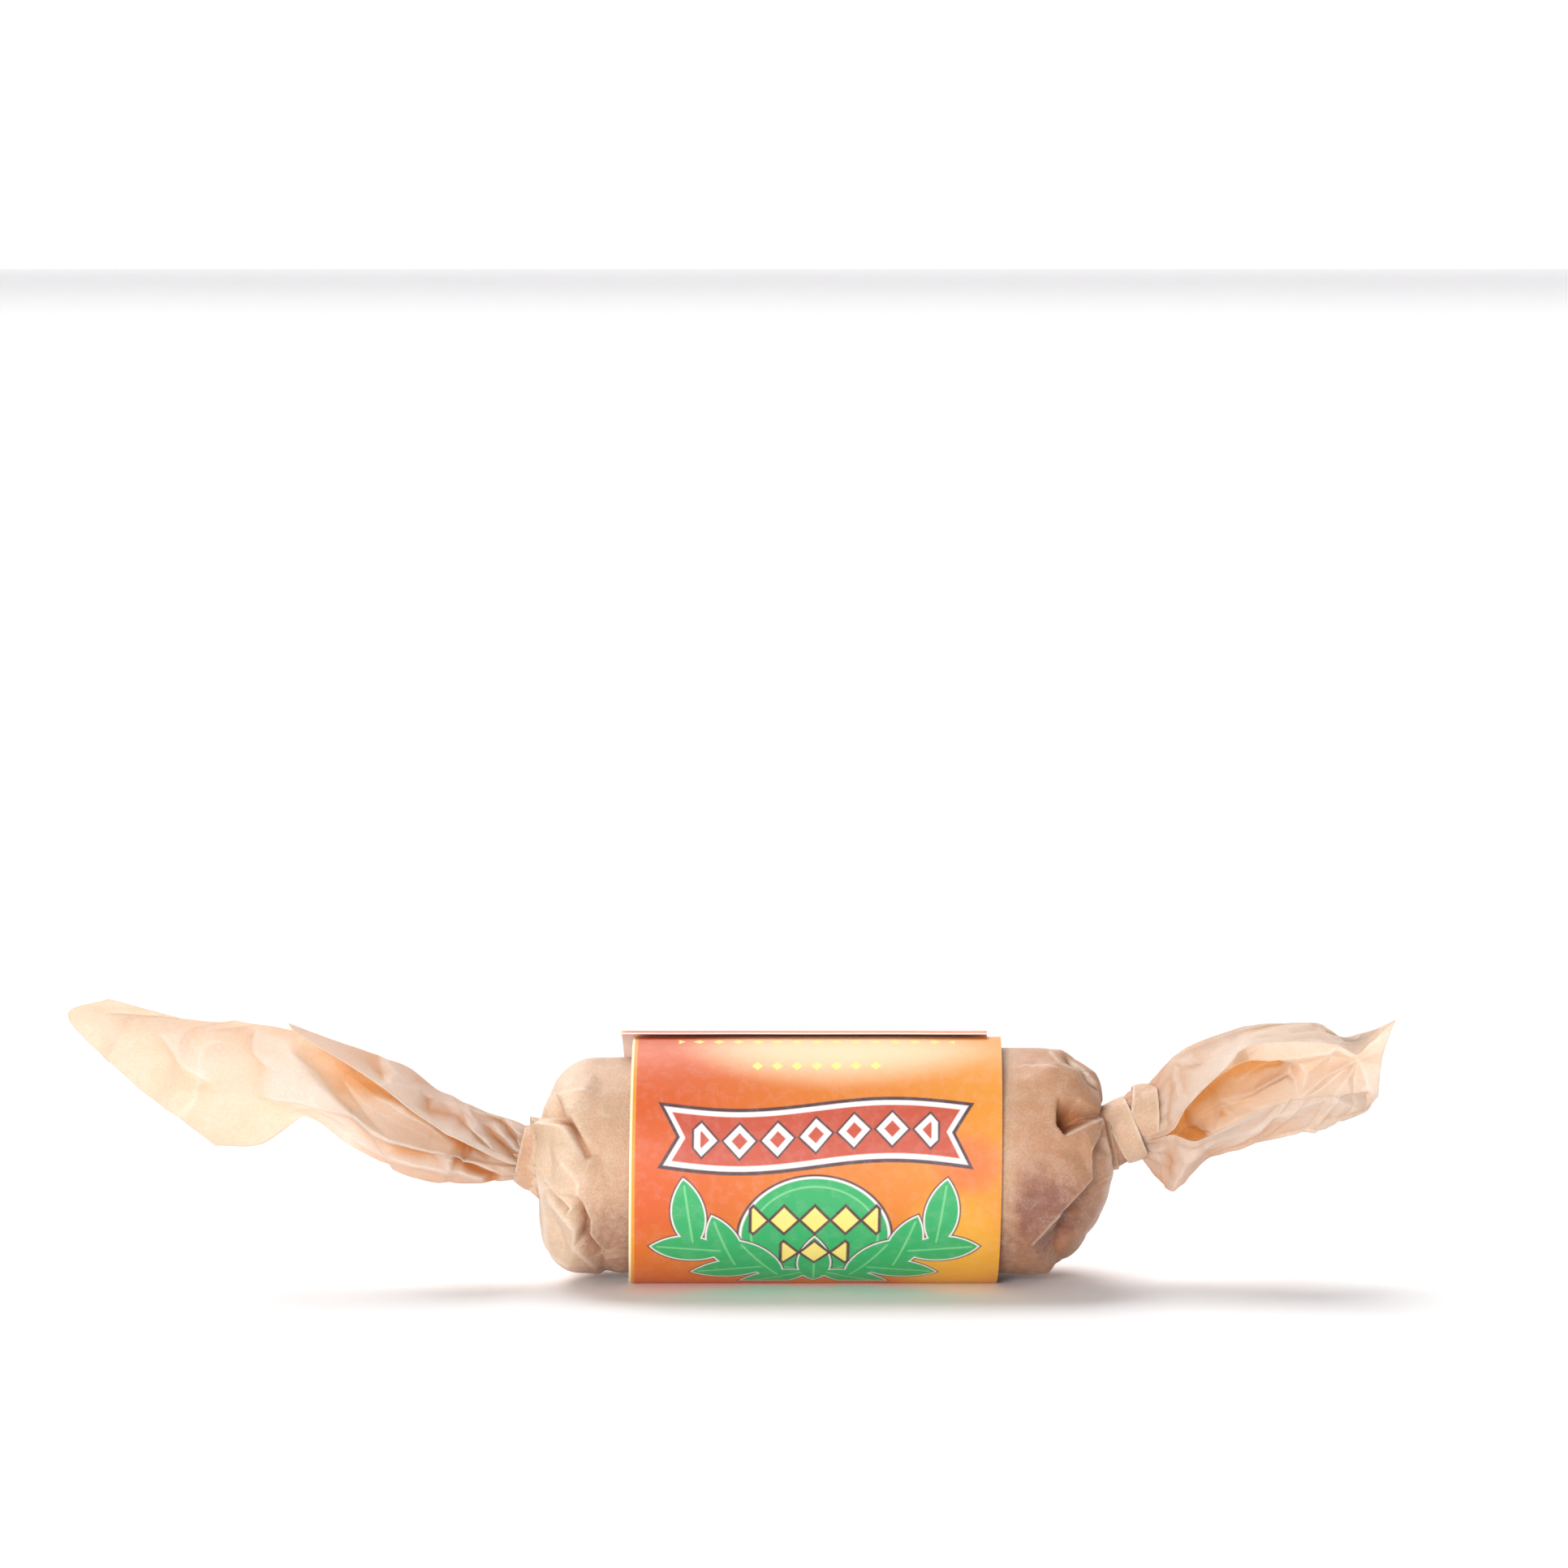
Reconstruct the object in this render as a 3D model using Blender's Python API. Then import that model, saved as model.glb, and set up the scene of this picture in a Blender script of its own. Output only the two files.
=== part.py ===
"""A caramel candy in waxed paper with two twisted tails and a paper label round its middle.

Metres with +Z up. +X runs along the candy to the right and +Y away from its front.
The origin is on the table, in the middle of the flat under the label.
"""

import math

import bmesh
import bpy
import numpy as np

MM = 0.001

# Body of the wrapped caramel, in millimetres
LEFT_RADIUS = 7.45
RIGHT_RADIUS = 7.81
LEFT_MIDDLE_HEIGHT = 7.95
RIGHT_MIDDLE_HEIGHT = 8.3
LEFT_SHOULDER = -14.4
RIGHT_SHOULDER = 14.4
LEFT_END_DEPTH = 4.3
RIGHT_END_DEPTH = 5.3
LEFT_END_POWER = 3.0
RIGHT_END_POWER = 2.8
LEFT_NECK_HEIGHT = 8.95
RIGHT_NECK_HEIGHT = 9.75
MOUTH_RADIUS = 2.1

# Necks, from the body outwards: place along the candy, height, radius, tilt in degrees
LEFT_NECK = (
    (-19.2, 8.3, 2.5, 0.0),
    (-19.8, 8.3, 2.3, 0.0),
    (-20.4, 8.75, 1.85, -4.0),
    (-21.2, 8.9, 1.75, -8.0),
    (-22.2, 9.1, 1.35, -12.0),
    (-23.4, 9.4, 0.8, -14.0),
)
RIGHT_NECK = (
    (20.1, 9.8, 2.2, 6.0),
    (20.7, 10.0, 2.15, 14.0),
    (21.3, 10.4, 2.0, 24.0),
    (22.1, 10.85, 1.9, 30.0),
    (23.0, 11.4, 1.7, 32.0),
    (24.2, 12.1, 0.9, 32.0),
)
NECK_RIDGES = 5
NECK_RIDGE_HEIGHT = 0.1
NECK_TWIST = 2.6

# Mesh of the body
AROUND = 66
END_RINGS = 14
END_START_SHARE = 0.3
SIDE_RINGS = 10

# Folds pressed into the ends: (place along the candy, degrees up from the front) ..., depth, lip, width
LEFT_FOLDS = (
    (((-19.0, 60), (-17.9, 48), (-16.6, 22), (-15.4, 2)), 0.9, 0.2, 1.4),
    (((-19.0, -10), (-17.9, -26), (-16.3, -38)), -0.5, 0.0, 0.8),
    (((-18.0, -4), (-16.2, -24), (-15.6, -48), (-13.6, -95)), 0.6, 0.2, 1.0),
    (((-18.9, 95), (-17.8, 92), (-15.6, 98)), 0.45, 0.1, 0.9),
    (((-19.0, 150), (-17.9, 140), (-15.0, 128)), 0.6, 0.15, 1.0),
    (((-19.0, 185), (-17.8, 178), (-15.8, 160)), 0.6, 0.15, 1.0),
    (((-19.0, 225), (-17.9, 212), (-14.6, 200)), 0.65, 0.15, 1.1),
    (((-19.0, 270), (-17.9, 250), (-15.4, 240)), 0.5, 0.15, 0.9),
)
RIGHT_FOLDS = (
    (((19.6, 44), (18.6, 35), (17.2, 30), (15.9, 27)), 2.6, 0.0, 1.5),
    (((19.5, 14), (18.7, 2), (18.3, -17), (16.8, -38), (15.0, -50)), 0.8, 0.35, 1.2),
    (((19.5, -60), (19.6, -80), (19.0, -85)), -0.9, 0.0, 1.2),
    (((19.4, -20), (19.1, -42), (17.6, -62)), -0.5, 0.0, 0.9),
    (((19.4, 75), (18.3, 70), (17.0, 82)), 0.4, 0.15, 0.9),
    (((19.4, 125), (18.3, 115), (16.2, 108)), 0.6, 0.15, 1.0),
    (((19.4, 165), (18.4, 152), (15.6, 140)), 0.7, 0.15, 1.1),
    (((19.4, 205), (18.3, 190), (16.0, 182)), 0.6, 0.15, 1.0),
    (((19.4, 250), (18.3, 238), (15.4, 222)), 0.6, 0.15, 1.0),
    (((19.4, 290), (18.3, 275), (16.4, 266)), 0.5, 0.15, 0.9),
)
FOLD_EDGE = 1.1
FOLD_TAPER = 0.3
DEEPEST_FOLD = 2.6
HIGHEST_FOLD = 1.0
HIGHEST_UNDER_LABEL = 0.05
UNDER_LABEL = 13.4
LOWEST_POINT = 0.15
FOLD_START_RADIUS = 2.3
FOLD_FADE = 1.8

# Fold lines of the left tail, from the neck to the free edge, in the order they lie round the tail:
# over the top and the back, round the bottom, and up inside the front to the top of the leaf
LEFT_TAIL = {
    "flap edge": ((-20.7, -1.7, 8.3), (-23.6, -3.0, 9.8), (-27.3, -4.0, 12.1), (-29.8, -3.6, 14.0), (-35.6, -1.2, 17.4)),
    "ridge": ((-20.3, 0.0, 10.8), (-23.5, 0.0, 12.1), (-26.1, 0.0, 13.2), (-28.1, -0.2, 14.8), (-31.0, -0.3, 15.9), (-36.0, -0.4, 17.9)),
    "back": ((-20.5, 1.8, 8.7), (-26.3, 3.7, 10.4), (-31.3, 3.4, 13.2)),
    "bottom": ((-20.6, 0.0, 7.1), (-23.5, -0.5, 6.8), (-27.6, -1.0, 7.3), (-31.6, -0.5, 9.1), (-35.2, 0.5, 11.1), (-38.5, 0.5, 9.3), (-41.5, 0.0, 9.3)),
    "lower fold": ((-21.0, -1.5, 7.6), (-25.2, -3.0, 8.8), (-29.8, -3.6, 10.2), (-32.1, -2.8, 12.0), (-36.9, -1.0, 12.7), (-46.8, 0.0, 13.3)),
    "leaf middle": ((-20.7, -0.4, 8.6), (-27.4, -1.2, 11.0), (-33.9, -0.6, 14.5), (-35.7, -1.3, 15.6), (-39.5, -0.2, 16.2), (-51.6, 0.0, 18.2)),
    "leaf top": ((-20.4, 0.1, 9.5), (-23.6, -0.2, 10.7), (-31.0, -0.4, 14.6), (-36.6, 0.8, 17.3), (-43.4, 1.0, 18.0), (-48.9, 0.5, 19.5)),
}
LEFT_ROUND = ("back", "bottom", "leaf middle")
LEFT_SHORT = {"flap edge": 0.55, "ridge": 0.55, "back": 0.42}
LEFT_STRIP_ENDS = {"flap edge": (0.55, 0.55), "ridge": (0.55, 0.42), "back": (0.42, 0.5)}

# Fold lines of the right tail, an open pouch, from its upper front edge over the back to its lower front edge
RIGHT_TAIL = {
    "rim": ((23.2, -1.7, 10.9), (24.9, -3.3, 12.0), (28.5, -4.0, 15.5), (29.8, -3.5, 16.7), (35.3, -2.0, 16.8), (37.5, 0.8, 15.6)),
    "ridge": ((23.1, 0.0, 13.6), (24.8, 0.0, 15.6), (27.4, 0.0, 17.0), (31.3, 0.5, 18.0), (35.0, 1.0, 17.8), (37.2, 1.3, 16.7), (40.2, 1.0, 17.9)),
    "back": ((22.6, 1.7, 10.9), (27.0, 4.5, 12.2), (31.6, 5.5, 13.5), (39.4, 2.0, 15.4)),
    "bottom": ((22.5, 0.5, 8.8), (24.9, 0.0, 6.1), (27.0, 0.0, 8.4), (31.5, 0.0, 9.7), (37.8, 0.5, 11.6), (39.0, 1.0, 12.7)),
    "lip": ((23.3, -1.4, 10.1), (26.1, -3.0, 10.0), (28.1, -4.0, 11.3), (33.7, -3.5, 13.2), (37.6, 0.8, 15.0)),
}
RIGHT_ROUND = ("back",)
TAIL_THICKNESS = 0.26
TAIL_STATIONS = 30
TAIL_STEPS = 3

# Label: a strip round the body, tight below and loose above, with its ends overlapping on top
LABEL_WIDTH = 25.4
LABEL_THICKNESS = 0.16
LABEL_HALF_DEPTH = 8.3
LABEL_HALF_HEIGHT = 8.63
LABEL_SAG = 0.25
LABEL_LAYER_STEP = 0.4
LABEL_START = -0.9
LABEL_END = 2 * math.pi + 0.06
LABEL_STEPS = 120

WRAPPER_COLOUR = (0.72, 0.5, 0.33, 1.0)
LABEL_COLOUR = (0.93, 0.32, 0.12, 1.0)


def smooth_step(value):
    """0 below 0, 1 above 1, and a smooth rise between them."""
    value = np.clip(value, 0.0, 1.0)
    return value * value * (3.0 - 2.0 * value)


def smooth_line(points, count):
    """The given number of evenly spaced points on a smooth curve through a few points."""
    points = np.asarray(points, float)
    gaps = np.sqrt(np.linalg.norm(np.diff(points, axis=0), axis=1))
    knots = np.concatenate([[0.0], np.cumsum(gaps)])
    slopes = np.gradient(points, knots, axis=0)
    fine = np.linspace(0.0, knots[-1], 200)
    index = np.clip(np.searchsorted(knots, fine) - 1, 0, len(gaps) - 1)
    span = gaps[index][:, None]
    part = (fine - knots[index])[:, None] / span
    curve = (
        points[index] * (1 + 2 * part) * (1 - part) ** 2
        + slopes[index] * span * part * (1 - part) ** 2
        + points[index + 1] * part**2 * (3 - 2 * part)
        + slopes[index + 1] * span * part**2 * (part - 1)
    )
    run = np.concatenate([[0.0], np.cumsum(np.linalg.norm(np.diff(curve, axis=0), axis=1))])
    even = np.linspace(0.0, run[-1], count)
    return np.stack([np.interp(even, run, curve[:, axis]) for axis in range(3)], axis=1)


def body_profile(place):
    """Radius and height of the middle of the plain body at a place along the candy."""
    along = np.clip((place - LEFT_SHOULDER) / (RIGHT_SHOULDER - LEFT_SHOULDER), 0.0, 1.0)
    radius = LEFT_RADIUS + (RIGHT_RADIUS - LEFT_RADIUS) * along
    height = LEFT_MIDDLE_HEIGHT + (RIGHT_MIDDLE_HEIGHT - LEFT_MIDDLE_HEIGHT) * along
    left = np.clip((LEFT_SHOULDER - place) / LEFT_END_DEPTH, 0.0, 1.0)
    right = np.clip((place - RIGHT_SHOULDER) / RIGHT_END_DEPTH, 0.0, 1.0)
    share = (1 - left**LEFT_END_POWER) ** (1 / LEFT_END_POWER)
    share = share * (1 - right**RIGHT_END_POWER) ** (1 / RIGHT_END_POWER)
    neck = np.where(place < 0, LEFT_NECK_HEIGHT, RIGHT_NECK_HEIGHT)
    rise = 1 - smooth_step((radius * share - MOUTH_RADIUS) / (radius - MOUTH_RADIUS))
    return radius * share, height + (neck - height) * rise


def ring(place, height, radius, tilt, angles):
    """A ring of points round the candy. Angles go up from the front."""
    lean = math.radians(tilt)
    up = radius * np.sin(angles)
    return np.stack([place - up * math.sin(lean), -radius * np.cos(angles), height + up * math.cos(lean)], axis=1)


def neck_rings(stations, angles):
    """Rings of a twisted neck, with ridges that wind round it."""
    rings = []
    for number, (place, height, radius, tilt) in enumerate(stations):
        wave = np.abs(np.sin(NECK_RIDGES * 0.5 * angles + NECK_TWIST * 0.25 * number)) - 0.6
        rings.append(ring(place, height, radius * (1 + NECK_RIDGE_HEIGHT * wave), tilt, angles))
    return rings


def end_places(shoulder, depth, radius, power, sign):
    """Places of evenly spaced rings over one end, from its flat face back to the shoulder."""
    turn = np.linspace(0.0, math.pi / 2, 400)
    share = END_START_SHARE + (1 - END_START_SHARE) * np.sin(turn)
    reach = depth * (1 - share**power) ** (1 / power)
    run = np.concatenate([[0.0], np.cumsum(np.hypot(np.diff(reach), radius * np.diff(share)))])
    return shoulder + sign * np.interp(np.linspace(0.0, run[-1], END_RINGS), run, reach)


def body_mesh():
    """Points and faces of the body with its two necks, before the folds are pressed in."""
    angles = np.linspace(0, 2 * math.pi, AROUND, endpoint=False)
    places = np.concatenate(
        [
            end_places(LEFT_SHOULDER, LEFT_END_DEPTH, LEFT_RADIUS, LEFT_END_POWER, -1),
            np.linspace(LEFT_SHOULDER, RIGHT_SHOULDER, SIDE_RINGS + 2)[1:-1],
            end_places(RIGHT_SHOULDER, RIGHT_END_DEPTH, RIGHT_RADIUS, RIGHT_END_POWER, 1)[::-1],
        ]
    )
    rings = neck_rings(LEFT_NECK, angles)[::-1]
    for place in places:
        radius, height = body_profile(place)
        rings.append(ring(place, float(height), float(radius), 0.0, angles))
    rings += neck_rings(RIGHT_NECK, angles)
    return np.array(rings)


def fold_depth(points, normals, fold):
    """How far each point moves along its normal where one fold is pressed in."""
    nodes, depth, lip, width = fold
    line = []
    for place, degrees in nodes:
        radius, height = body_profile(place)
        angle = math.radians(degrees)
        line.append((place, -float(radius) * math.cos(angle), float(height) + float(radius) * math.sin(angle)))
    line = smooth_line(line, 24)
    offset = points[:, None, :] - line[None, :, :]
    away = np.linalg.norm(offset, axis=2)
    nearest = np.argmin(away, axis=1)
    run = np.gradient(line, axis=0)[nearest]
    side = np.cross(run, normals)
    side = side / np.maximum(np.linalg.norm(side, axis=1, keepdims=True), 1e-9)
    row = np.arange(len(points))
    across = np.einsum("ij,ij->i", offset[row, nearest], side)
    distance = away[row, nearest]
    raised = smooth_step(across / FOLD_EDGE + 0.5)
    part = nearest / (len(line) - 1)
    ends = smooth_step(part / FOLD_TAPER) * smooth_step((1 - part) / FOLD_TAPER)
    hollow = depth * ends * np.exp(-((distance / width) ** 2))
    swell = lip * ends * np.exp(-((distance / (1.6 * width)) ** 2))
    return swell * raised - hollow * (1 - raised) - 0.35 * hollow * raised


def closed_normals(rings):
    """Normals of a grid of rings, out of the body."""
    along = np.gradient(rings, axis=0)
    around = np.roll(rings, -1, axis=1) - np.roll(rings, 1, axis=1)
    normals = np.cross(along, around)
    normals /= np.maximum(np.linalg.norm(normals, axis=2, keepdims=True), 1e-9)
    outward = rings - rings.mean(axis=1, keepdims=True)
    return normals * np.sign(np.sum(normals * outward, axis=(1, 2)))[:, None, None]


def make_object(name, points, faces, colour):
    """A mesh object from points in millimetres, with its faces turned outwards."""
    mesh = bpy.data.meshes.new(name)
    mesh.from_pydata((np.asarray(points) * MM).tolist(), [], faces)
    shape = bmesh.new()
    shape.from_mesh(mesh)
    bmesh.ops.triangulate(shape, faces=shape.faces[:])
    bmesh.ops.recalc_face_normals(shape, faces=shape.faces[:])
    if shape.calc_volume(signed=True) < 0:
        bmesh.ops.reverse_faces(shape, faces=shape.faces[:])
    shape.to_mesh(mesh)
    shape.free()
    material = bpy.data.materials.new(name)
    material.use_nodes = True
    material.node_tree.nodes["Principled BSDF"].inputs["Base Color"].default_value = colour
    mesh.materials.append(material)
    made = bpy.data.objects.new(name, mesh)
    bpy.context.scene.collection.objects.link(made)
    return made


def make_body():
    """The body and necks as one closed solid."""
    rings = body_mesh()
    count, around, _ = rings.shape
    normals = closed_normals(rings).reshape(-1, 3)
    points = rings.reshape(-1, 3)
    shift = np.zeros(len(points))
    for fold in LEFT_FOLDS + RIGHT_FOLDS:
        shift += fold_depth(points, normals, fold)
    highest = np.where(np.abs(points[:, 0]) < UNDER_LABEL, HIGHEST_UNDER_LABEL, HIGHEST_FOLD)
    shift = np.clip(shift, -DEEPEST_FOLD, highest)
    from_axis = np.linalg.norm(rings - rings.mean(axis=1, keepdims=True), axis=2).reshape(-1)
    shift *= smooth_step((from_axis - FOLD_START_RADIUS) / FOLD_FADE)
    points = points + normals * shift[:, None]
    points[:, 2] = np.maximum(points[:, 2], LOWEST_POINT)
    faces = []
    for row in range(count - 1):
        for column in range(around):
            after = (column + 1) % around
            low, high = row * around, (row + 1) * around
            faces.append((low + column, low + after, high + after, high + column))
    faces.append(tuple(range(around)))
    faces.append(tuple(range((count - 1) * around, count * around)))
    return make_object("wrapper", points, faces, WRAPPER_COLOUR)


def across_lines(lines, rounded, reach):
    """Points between neighbouring fold lines, curved through rounded lines and straight from sharp ones."""
    names = list(lines)
    station = np.arange(TAIL_STATIONS)[:, None]
    grid = np.array([lines[name] for name in names])
    rows = []
    for number in range(len(names) - 1):
        start, end = grid[number], grid[number + 1]
        chord = end - start
        before = grid[max(number - 1, 0)]
        after = grid[min(number + 2, len(names) - 1)]
        from_start = (end - before) / 2 if names[number] in rounded else chord
        from_start = np.where(station <= reach[names[max(number - 1, 0)]], from_start, chord)
        to_end = (after - start) / 2 if names[number + 1] in rounded else chord
        for step in range(TAIL_STEPS):
            part = step / TAIL_STEPS
            rows.append(
                start * (1 + 2 * part) * (1 - part) ** 2
                + from_start * part * (1 - part) ** 2
                + end * part**2 * (3 - 2 * part)
                + to_end * part**2 * (part - 1)
            )
    rows.append(grid[-1])
    return np.array(rows)


def sheet_object(name, points, faces):
    """A thin solid on both sides of a sheet, both faces split into triangles alike."""
    mesh = bpy.data.meshes.new(name)
    mesh.from_pydata(points.tolist(), [], faces)
    shape = bmesh.new()
    shape.from_mesh(mesh)
    bmesh.ops.delete(shape, geom=[vert for vert in shape.verts if not vert.link_faces], context="VERTS")
    bmesh.ops.triangulate(shape, faces=shape.faces[:])
    bmesh.ops.recalc_face_normals(shape, faces=shape.faces[:])
    shape.normal_update()
    shape.verts.index_update()
    middle = np.array([vert.co[:] for vert in shape.verts])
    normals = np.array([vert.normal[:] for vert in shape.verts])
    triangles = [tuple(vert.index for vert in face.verts) for face in shape.faces]
    rim = [edge for edge in shape.edges if len(edge.link_faces) == 1]
    count = len(middle)
    solid = [tuple(triangle) for triangle in triangles]
    solid += [tuple(index + count for index in reversed(triangle)) for triangle in triangles]
    for edge in rim:
        one, two = edge.verts[0].index, edge.verts[1].index
        solid.append((one, two, two + count, one + count))
    shape.free()
    bpy.data.meshes.remove(mesh)
    half = TAIL_THICKNESS / 2
    both = np.concatenate([middle + normals * half, middle - normals * half])
    return make_object(name, both, solid, WRAPPER_COLOUR)


def rooted(line, centre):
    """A fold line with one more point at its start, inside the neck."""
    first = np.asarray(line[0], float)
    centre = np.asarray(centre, float)
    return (tuple(centre + (first - centre) * 0.55),) + tuple(line)


def make_tail(name, tail, rounded, centre, short, strip_ends):
    """A tail as a sheet across its fold lines. Some lines stop short, and some strips end on a slant."""
    last = TAIL_STATIONS - 1
    lines, reach = {}, {}
    for line_name, line in tail.items():
        reach[line_name] = int(round(last * short.get(line_name, 1.0)))
        even = smooth_line(rooted(line, centre), reach[line_name] + 1)
        rest = np.repeat(even[-1:], TAIL_STATIONS - len(even), axis=0)
        lines[line_name] = np.concatenate([even, rest])
    rows = across_lines(lines, rounded, reach)
    names = list(lines)
    faces = []
    for row in range(len(rows) - 1):
        start, end = strip_ends.get(names[row // TAIL_STEPS], (1.0, 1.0))
        part = (row % TAIL_STEPS) / TAIL_STEPS
        one = int(round(last * (start + (end - start) * part)))
        two = int(round(last * (start + (end - start) * (part + 1 / TAIL_STEPS))))
        low, high = row * TAIL_STATIONS, (row + 1) * TAIL_STATIONS
        for station in range(min(one, two)):
            faces.append((low + station, low + station + 1, high + station + 1, high + station))
        for station in range(two, one):
            faces.append((low + station, low + station + 1, high + two))
        for station in range(one, two):
            faces.append((low + one, high + station + 1, high + station))
    return sheet_object(name, rows.reshape(-1, 3), faces)


def make_left_tail():
    """The left tail: a rolled sheet, and a broad leaf that grows out of its front."""
    centre = (LEFT_NECK[1][0], 0.0, LEFT_NECK[1][1])
    return make_tail("left tail", LEFT_TAIL, LEFT_ROUND, centre, LEFT_SHORT, LEFT_STRIP_ENDS)


def make_right_tail():
    """The right tail: a pouch open to the front."""
    centre = (RIGHT_NECK[3][0], 0.0, RIGHT_NECK[3][1])
    return make_tail("right tail", RIGHT_TAIL, RIGHT_ROUND, centre, {}, {})


def make_wrapper():
    """The body and both tails joined into one solid."""
    body = make_body()
    tails = bpy.data.collections.new("tails")
    bpy.context.scene.collection.children.link(tails)
    for tail in (make_left_tail(), make_right_tail()):
        bpy.context.scene.collection.objects.unlink(tail)
        tails.objects.link(tail)
    join = body.modifiers.new("join", "BOOLEAN")
    join.operation = "UNION"
    join.operand_type = "COLLECTION"
    join.collection = tails
    join.solver = "EXACT"
    join.use_self = True
    bpy.context.view_layer.objects.active = body
    bpy.ops.object.modifier_apply(modifier=join.name)
    for tail in list(tails.objects):
        bpy.data.objects.remove(tail)
    bpy.data.collections.remove(tails)
    return body


def label_point(turn, inward):
    """Place across and height of the label at a turn from the top towards the front."""
    lower = 1 - smooth_step((math.cos(turn) + 0.3) / 0.6)
    drift = LABEL_LAYER_STEP * (1 - smooth_step((turn - 0.1) / 2.4))
    half_depth = LABEL_HALF_DEPTH - drift - inward
    half_height = LABEL_HALF_HEIGHT + LABEL_SAG * lower - drift - inward
    height = LABEL_HALF_HEIGHT + half_height * math.cos(turn)
    return -half_depth * math.sin(turn), max(height, inward)


def label_shift(turn):
    """How far the skewed strip has moved along the candy."""
    half_turns = turn / math.pi
    return 0.15 - 0.22 * half_turns - 0.13 * half_turns * abs(half_turns)


def make_label():
    """The label as a thin closed strip."""
    points = []
    for number in range(LABEL_STEPS + 1):
        turn = LABEL_START + (LABEL_END - LABEL_START) * number / LABEL_STEPS
        for inward in (0.0, LABEL_THICKNESS):
            depth, height = label_point(turn, inward)
            for end in (-0.5, 0.5):
                points.append((end * LABEL_WIDTH + label_shift(turn), depth, height))
    faces = [(0, 1, 3, 2)]
    for number in range(LABEL_STEPS):
        low, high = 4 * number, 4 * number + 4
        for one, two in ((0, 1), (1, 3), (3, 2), (2, 0)):
            faces.append((low + one, low + two, high + two, high + one))
    last = 4 * LABEL_STEPS
    faces.append((last, last + 2, last + 3, last + 1))
    return make_object("label", points, faces, LABEL_COLOUR)


def main():
    for old in list(bpy.data.objects):
        bpy.data.objects.remove(old)
    make_wrapper()
    make_label()


main()
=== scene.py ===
"""The looks of one wrapped caramel candy, with two twisted tails and a printed paper label."""

import logging
import math
from dataclasses import dataclass
from enum import Enum

import bmesh
import bpy
import numpy as np
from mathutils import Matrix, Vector
from mathutils.geometry import delaunay_2d_cdt


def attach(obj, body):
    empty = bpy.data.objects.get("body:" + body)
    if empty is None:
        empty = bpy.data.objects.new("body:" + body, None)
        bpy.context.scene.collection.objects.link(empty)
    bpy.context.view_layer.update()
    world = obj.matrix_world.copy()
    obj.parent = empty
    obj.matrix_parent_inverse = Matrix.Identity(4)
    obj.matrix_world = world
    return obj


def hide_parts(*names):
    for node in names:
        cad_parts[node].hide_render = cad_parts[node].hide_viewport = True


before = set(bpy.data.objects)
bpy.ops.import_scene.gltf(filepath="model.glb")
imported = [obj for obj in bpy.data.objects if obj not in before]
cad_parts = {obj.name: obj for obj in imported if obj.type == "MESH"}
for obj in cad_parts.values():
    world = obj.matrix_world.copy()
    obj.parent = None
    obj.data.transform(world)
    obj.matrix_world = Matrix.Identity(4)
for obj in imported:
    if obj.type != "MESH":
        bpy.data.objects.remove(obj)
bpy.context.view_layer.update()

LOG = logging.getLogger("candy")
MM = 0.001
Colour = tuple[float, float, float, float]
Point = tuple[float, float, float]
WHITE: Colour = (1.0, 1.0, 1.0, 1.0)
TINY = 1e-9
LINE_SAMPLES = 600


def srgb(red: int, green: int, blue: int) -> Colour:
    """Turn a display colour into a linear one.

    Args:
        red: Red from 0 to 255.
        green: Green from 0 to 255.
        blue: Blue from 0 to 255.

    Returns:
        The linear colour with an alpha of 1.
    """
    linear = []
    for level in (red / 255, green / 255, blue / 255):
        linear.append(level / 12.92 if level <= 0.04045 else ((level + 0.055) / 1.055) ** 2.4)
    return (*linear, 1.0)


def smooth_step(value: np.ndarray) -> np.ndarray:
    """Rise smoothly from 0 at 0 to 1 at 1.

    Args:
        value: Any numbers.

    Returns:
        Numbers from 0 to 1.
    """
    value = np.clip(value, 0.0, 1.0)
    return value * value * (3.0 - 2.0 * value)


def ramp(value: np.ndarray, start: float, width: float) -> np.ndarray:
    """Rise smoothly from 0 at a start to 1 further on.

    Args:
        value: Any numbers.
        start: Where it starts.
        width: How far on it reaches 1. Where it is negative, that is further down.

    Returns:
        Numbers from 0 to 1.
    """
    return smooth_step((value - start) / width)


def hermite(
    start: np.ndarray, leave: np.ndarray, end: np.ndarray, arrive: np.ndarray, part: np.ndarray | float
) -> np.ndarray:
    """Go smoothly from a start to an end.

    Args:
        start: Where it starts.
        leave: Its slope there.
        end: Where it ends.
        arrive: Its slope there.
        part: Share of the way.

    Returns:
        The place at that share.
    """
    return (
        start * (1 + 2 * part) * (1 - part) ** 2
        + leave * part * (1 - part) ** 2
        + end * part**2 * (3 - 2 * part)
        + arrive * part**2 * (part - 1)
    )


def run_along(points: np.ndarray, axis: int = 0) -> np.ndarray:
    """Measure the way along lines of points.

    Args:
        points: The points, with their places on the last axis.
        axis: The axis to walk along.

    Returns:
        The distance walked to each point.
    """
    first = np.take(points, [0], axis=axis)
    return np.cumsum(np.linalg.norm(np.diff(points, axis=axis, prepend=first), axis=-1), axis=axis)


def grid_faces(rows: int, columns: int, closed: bool = False) -> list[tuple[int, ...]]:
    """Join rows of points with faces of four corners.

    Args:
        rows: How many rows there are.
        columns: How many points a row has.
        closed: Whether the last point of a row joins its first.

    Returns:
        The faces.
    """
    faces = []
    for row in range(rows - 1):
        low, high = row * columns, (row + 1) * columns
        for column in range(columns if closed else columns - 1):
            after = (column + 1) % columns
            faces.append((low + column, low + after, high + after, high + column))
    return faces


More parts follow.
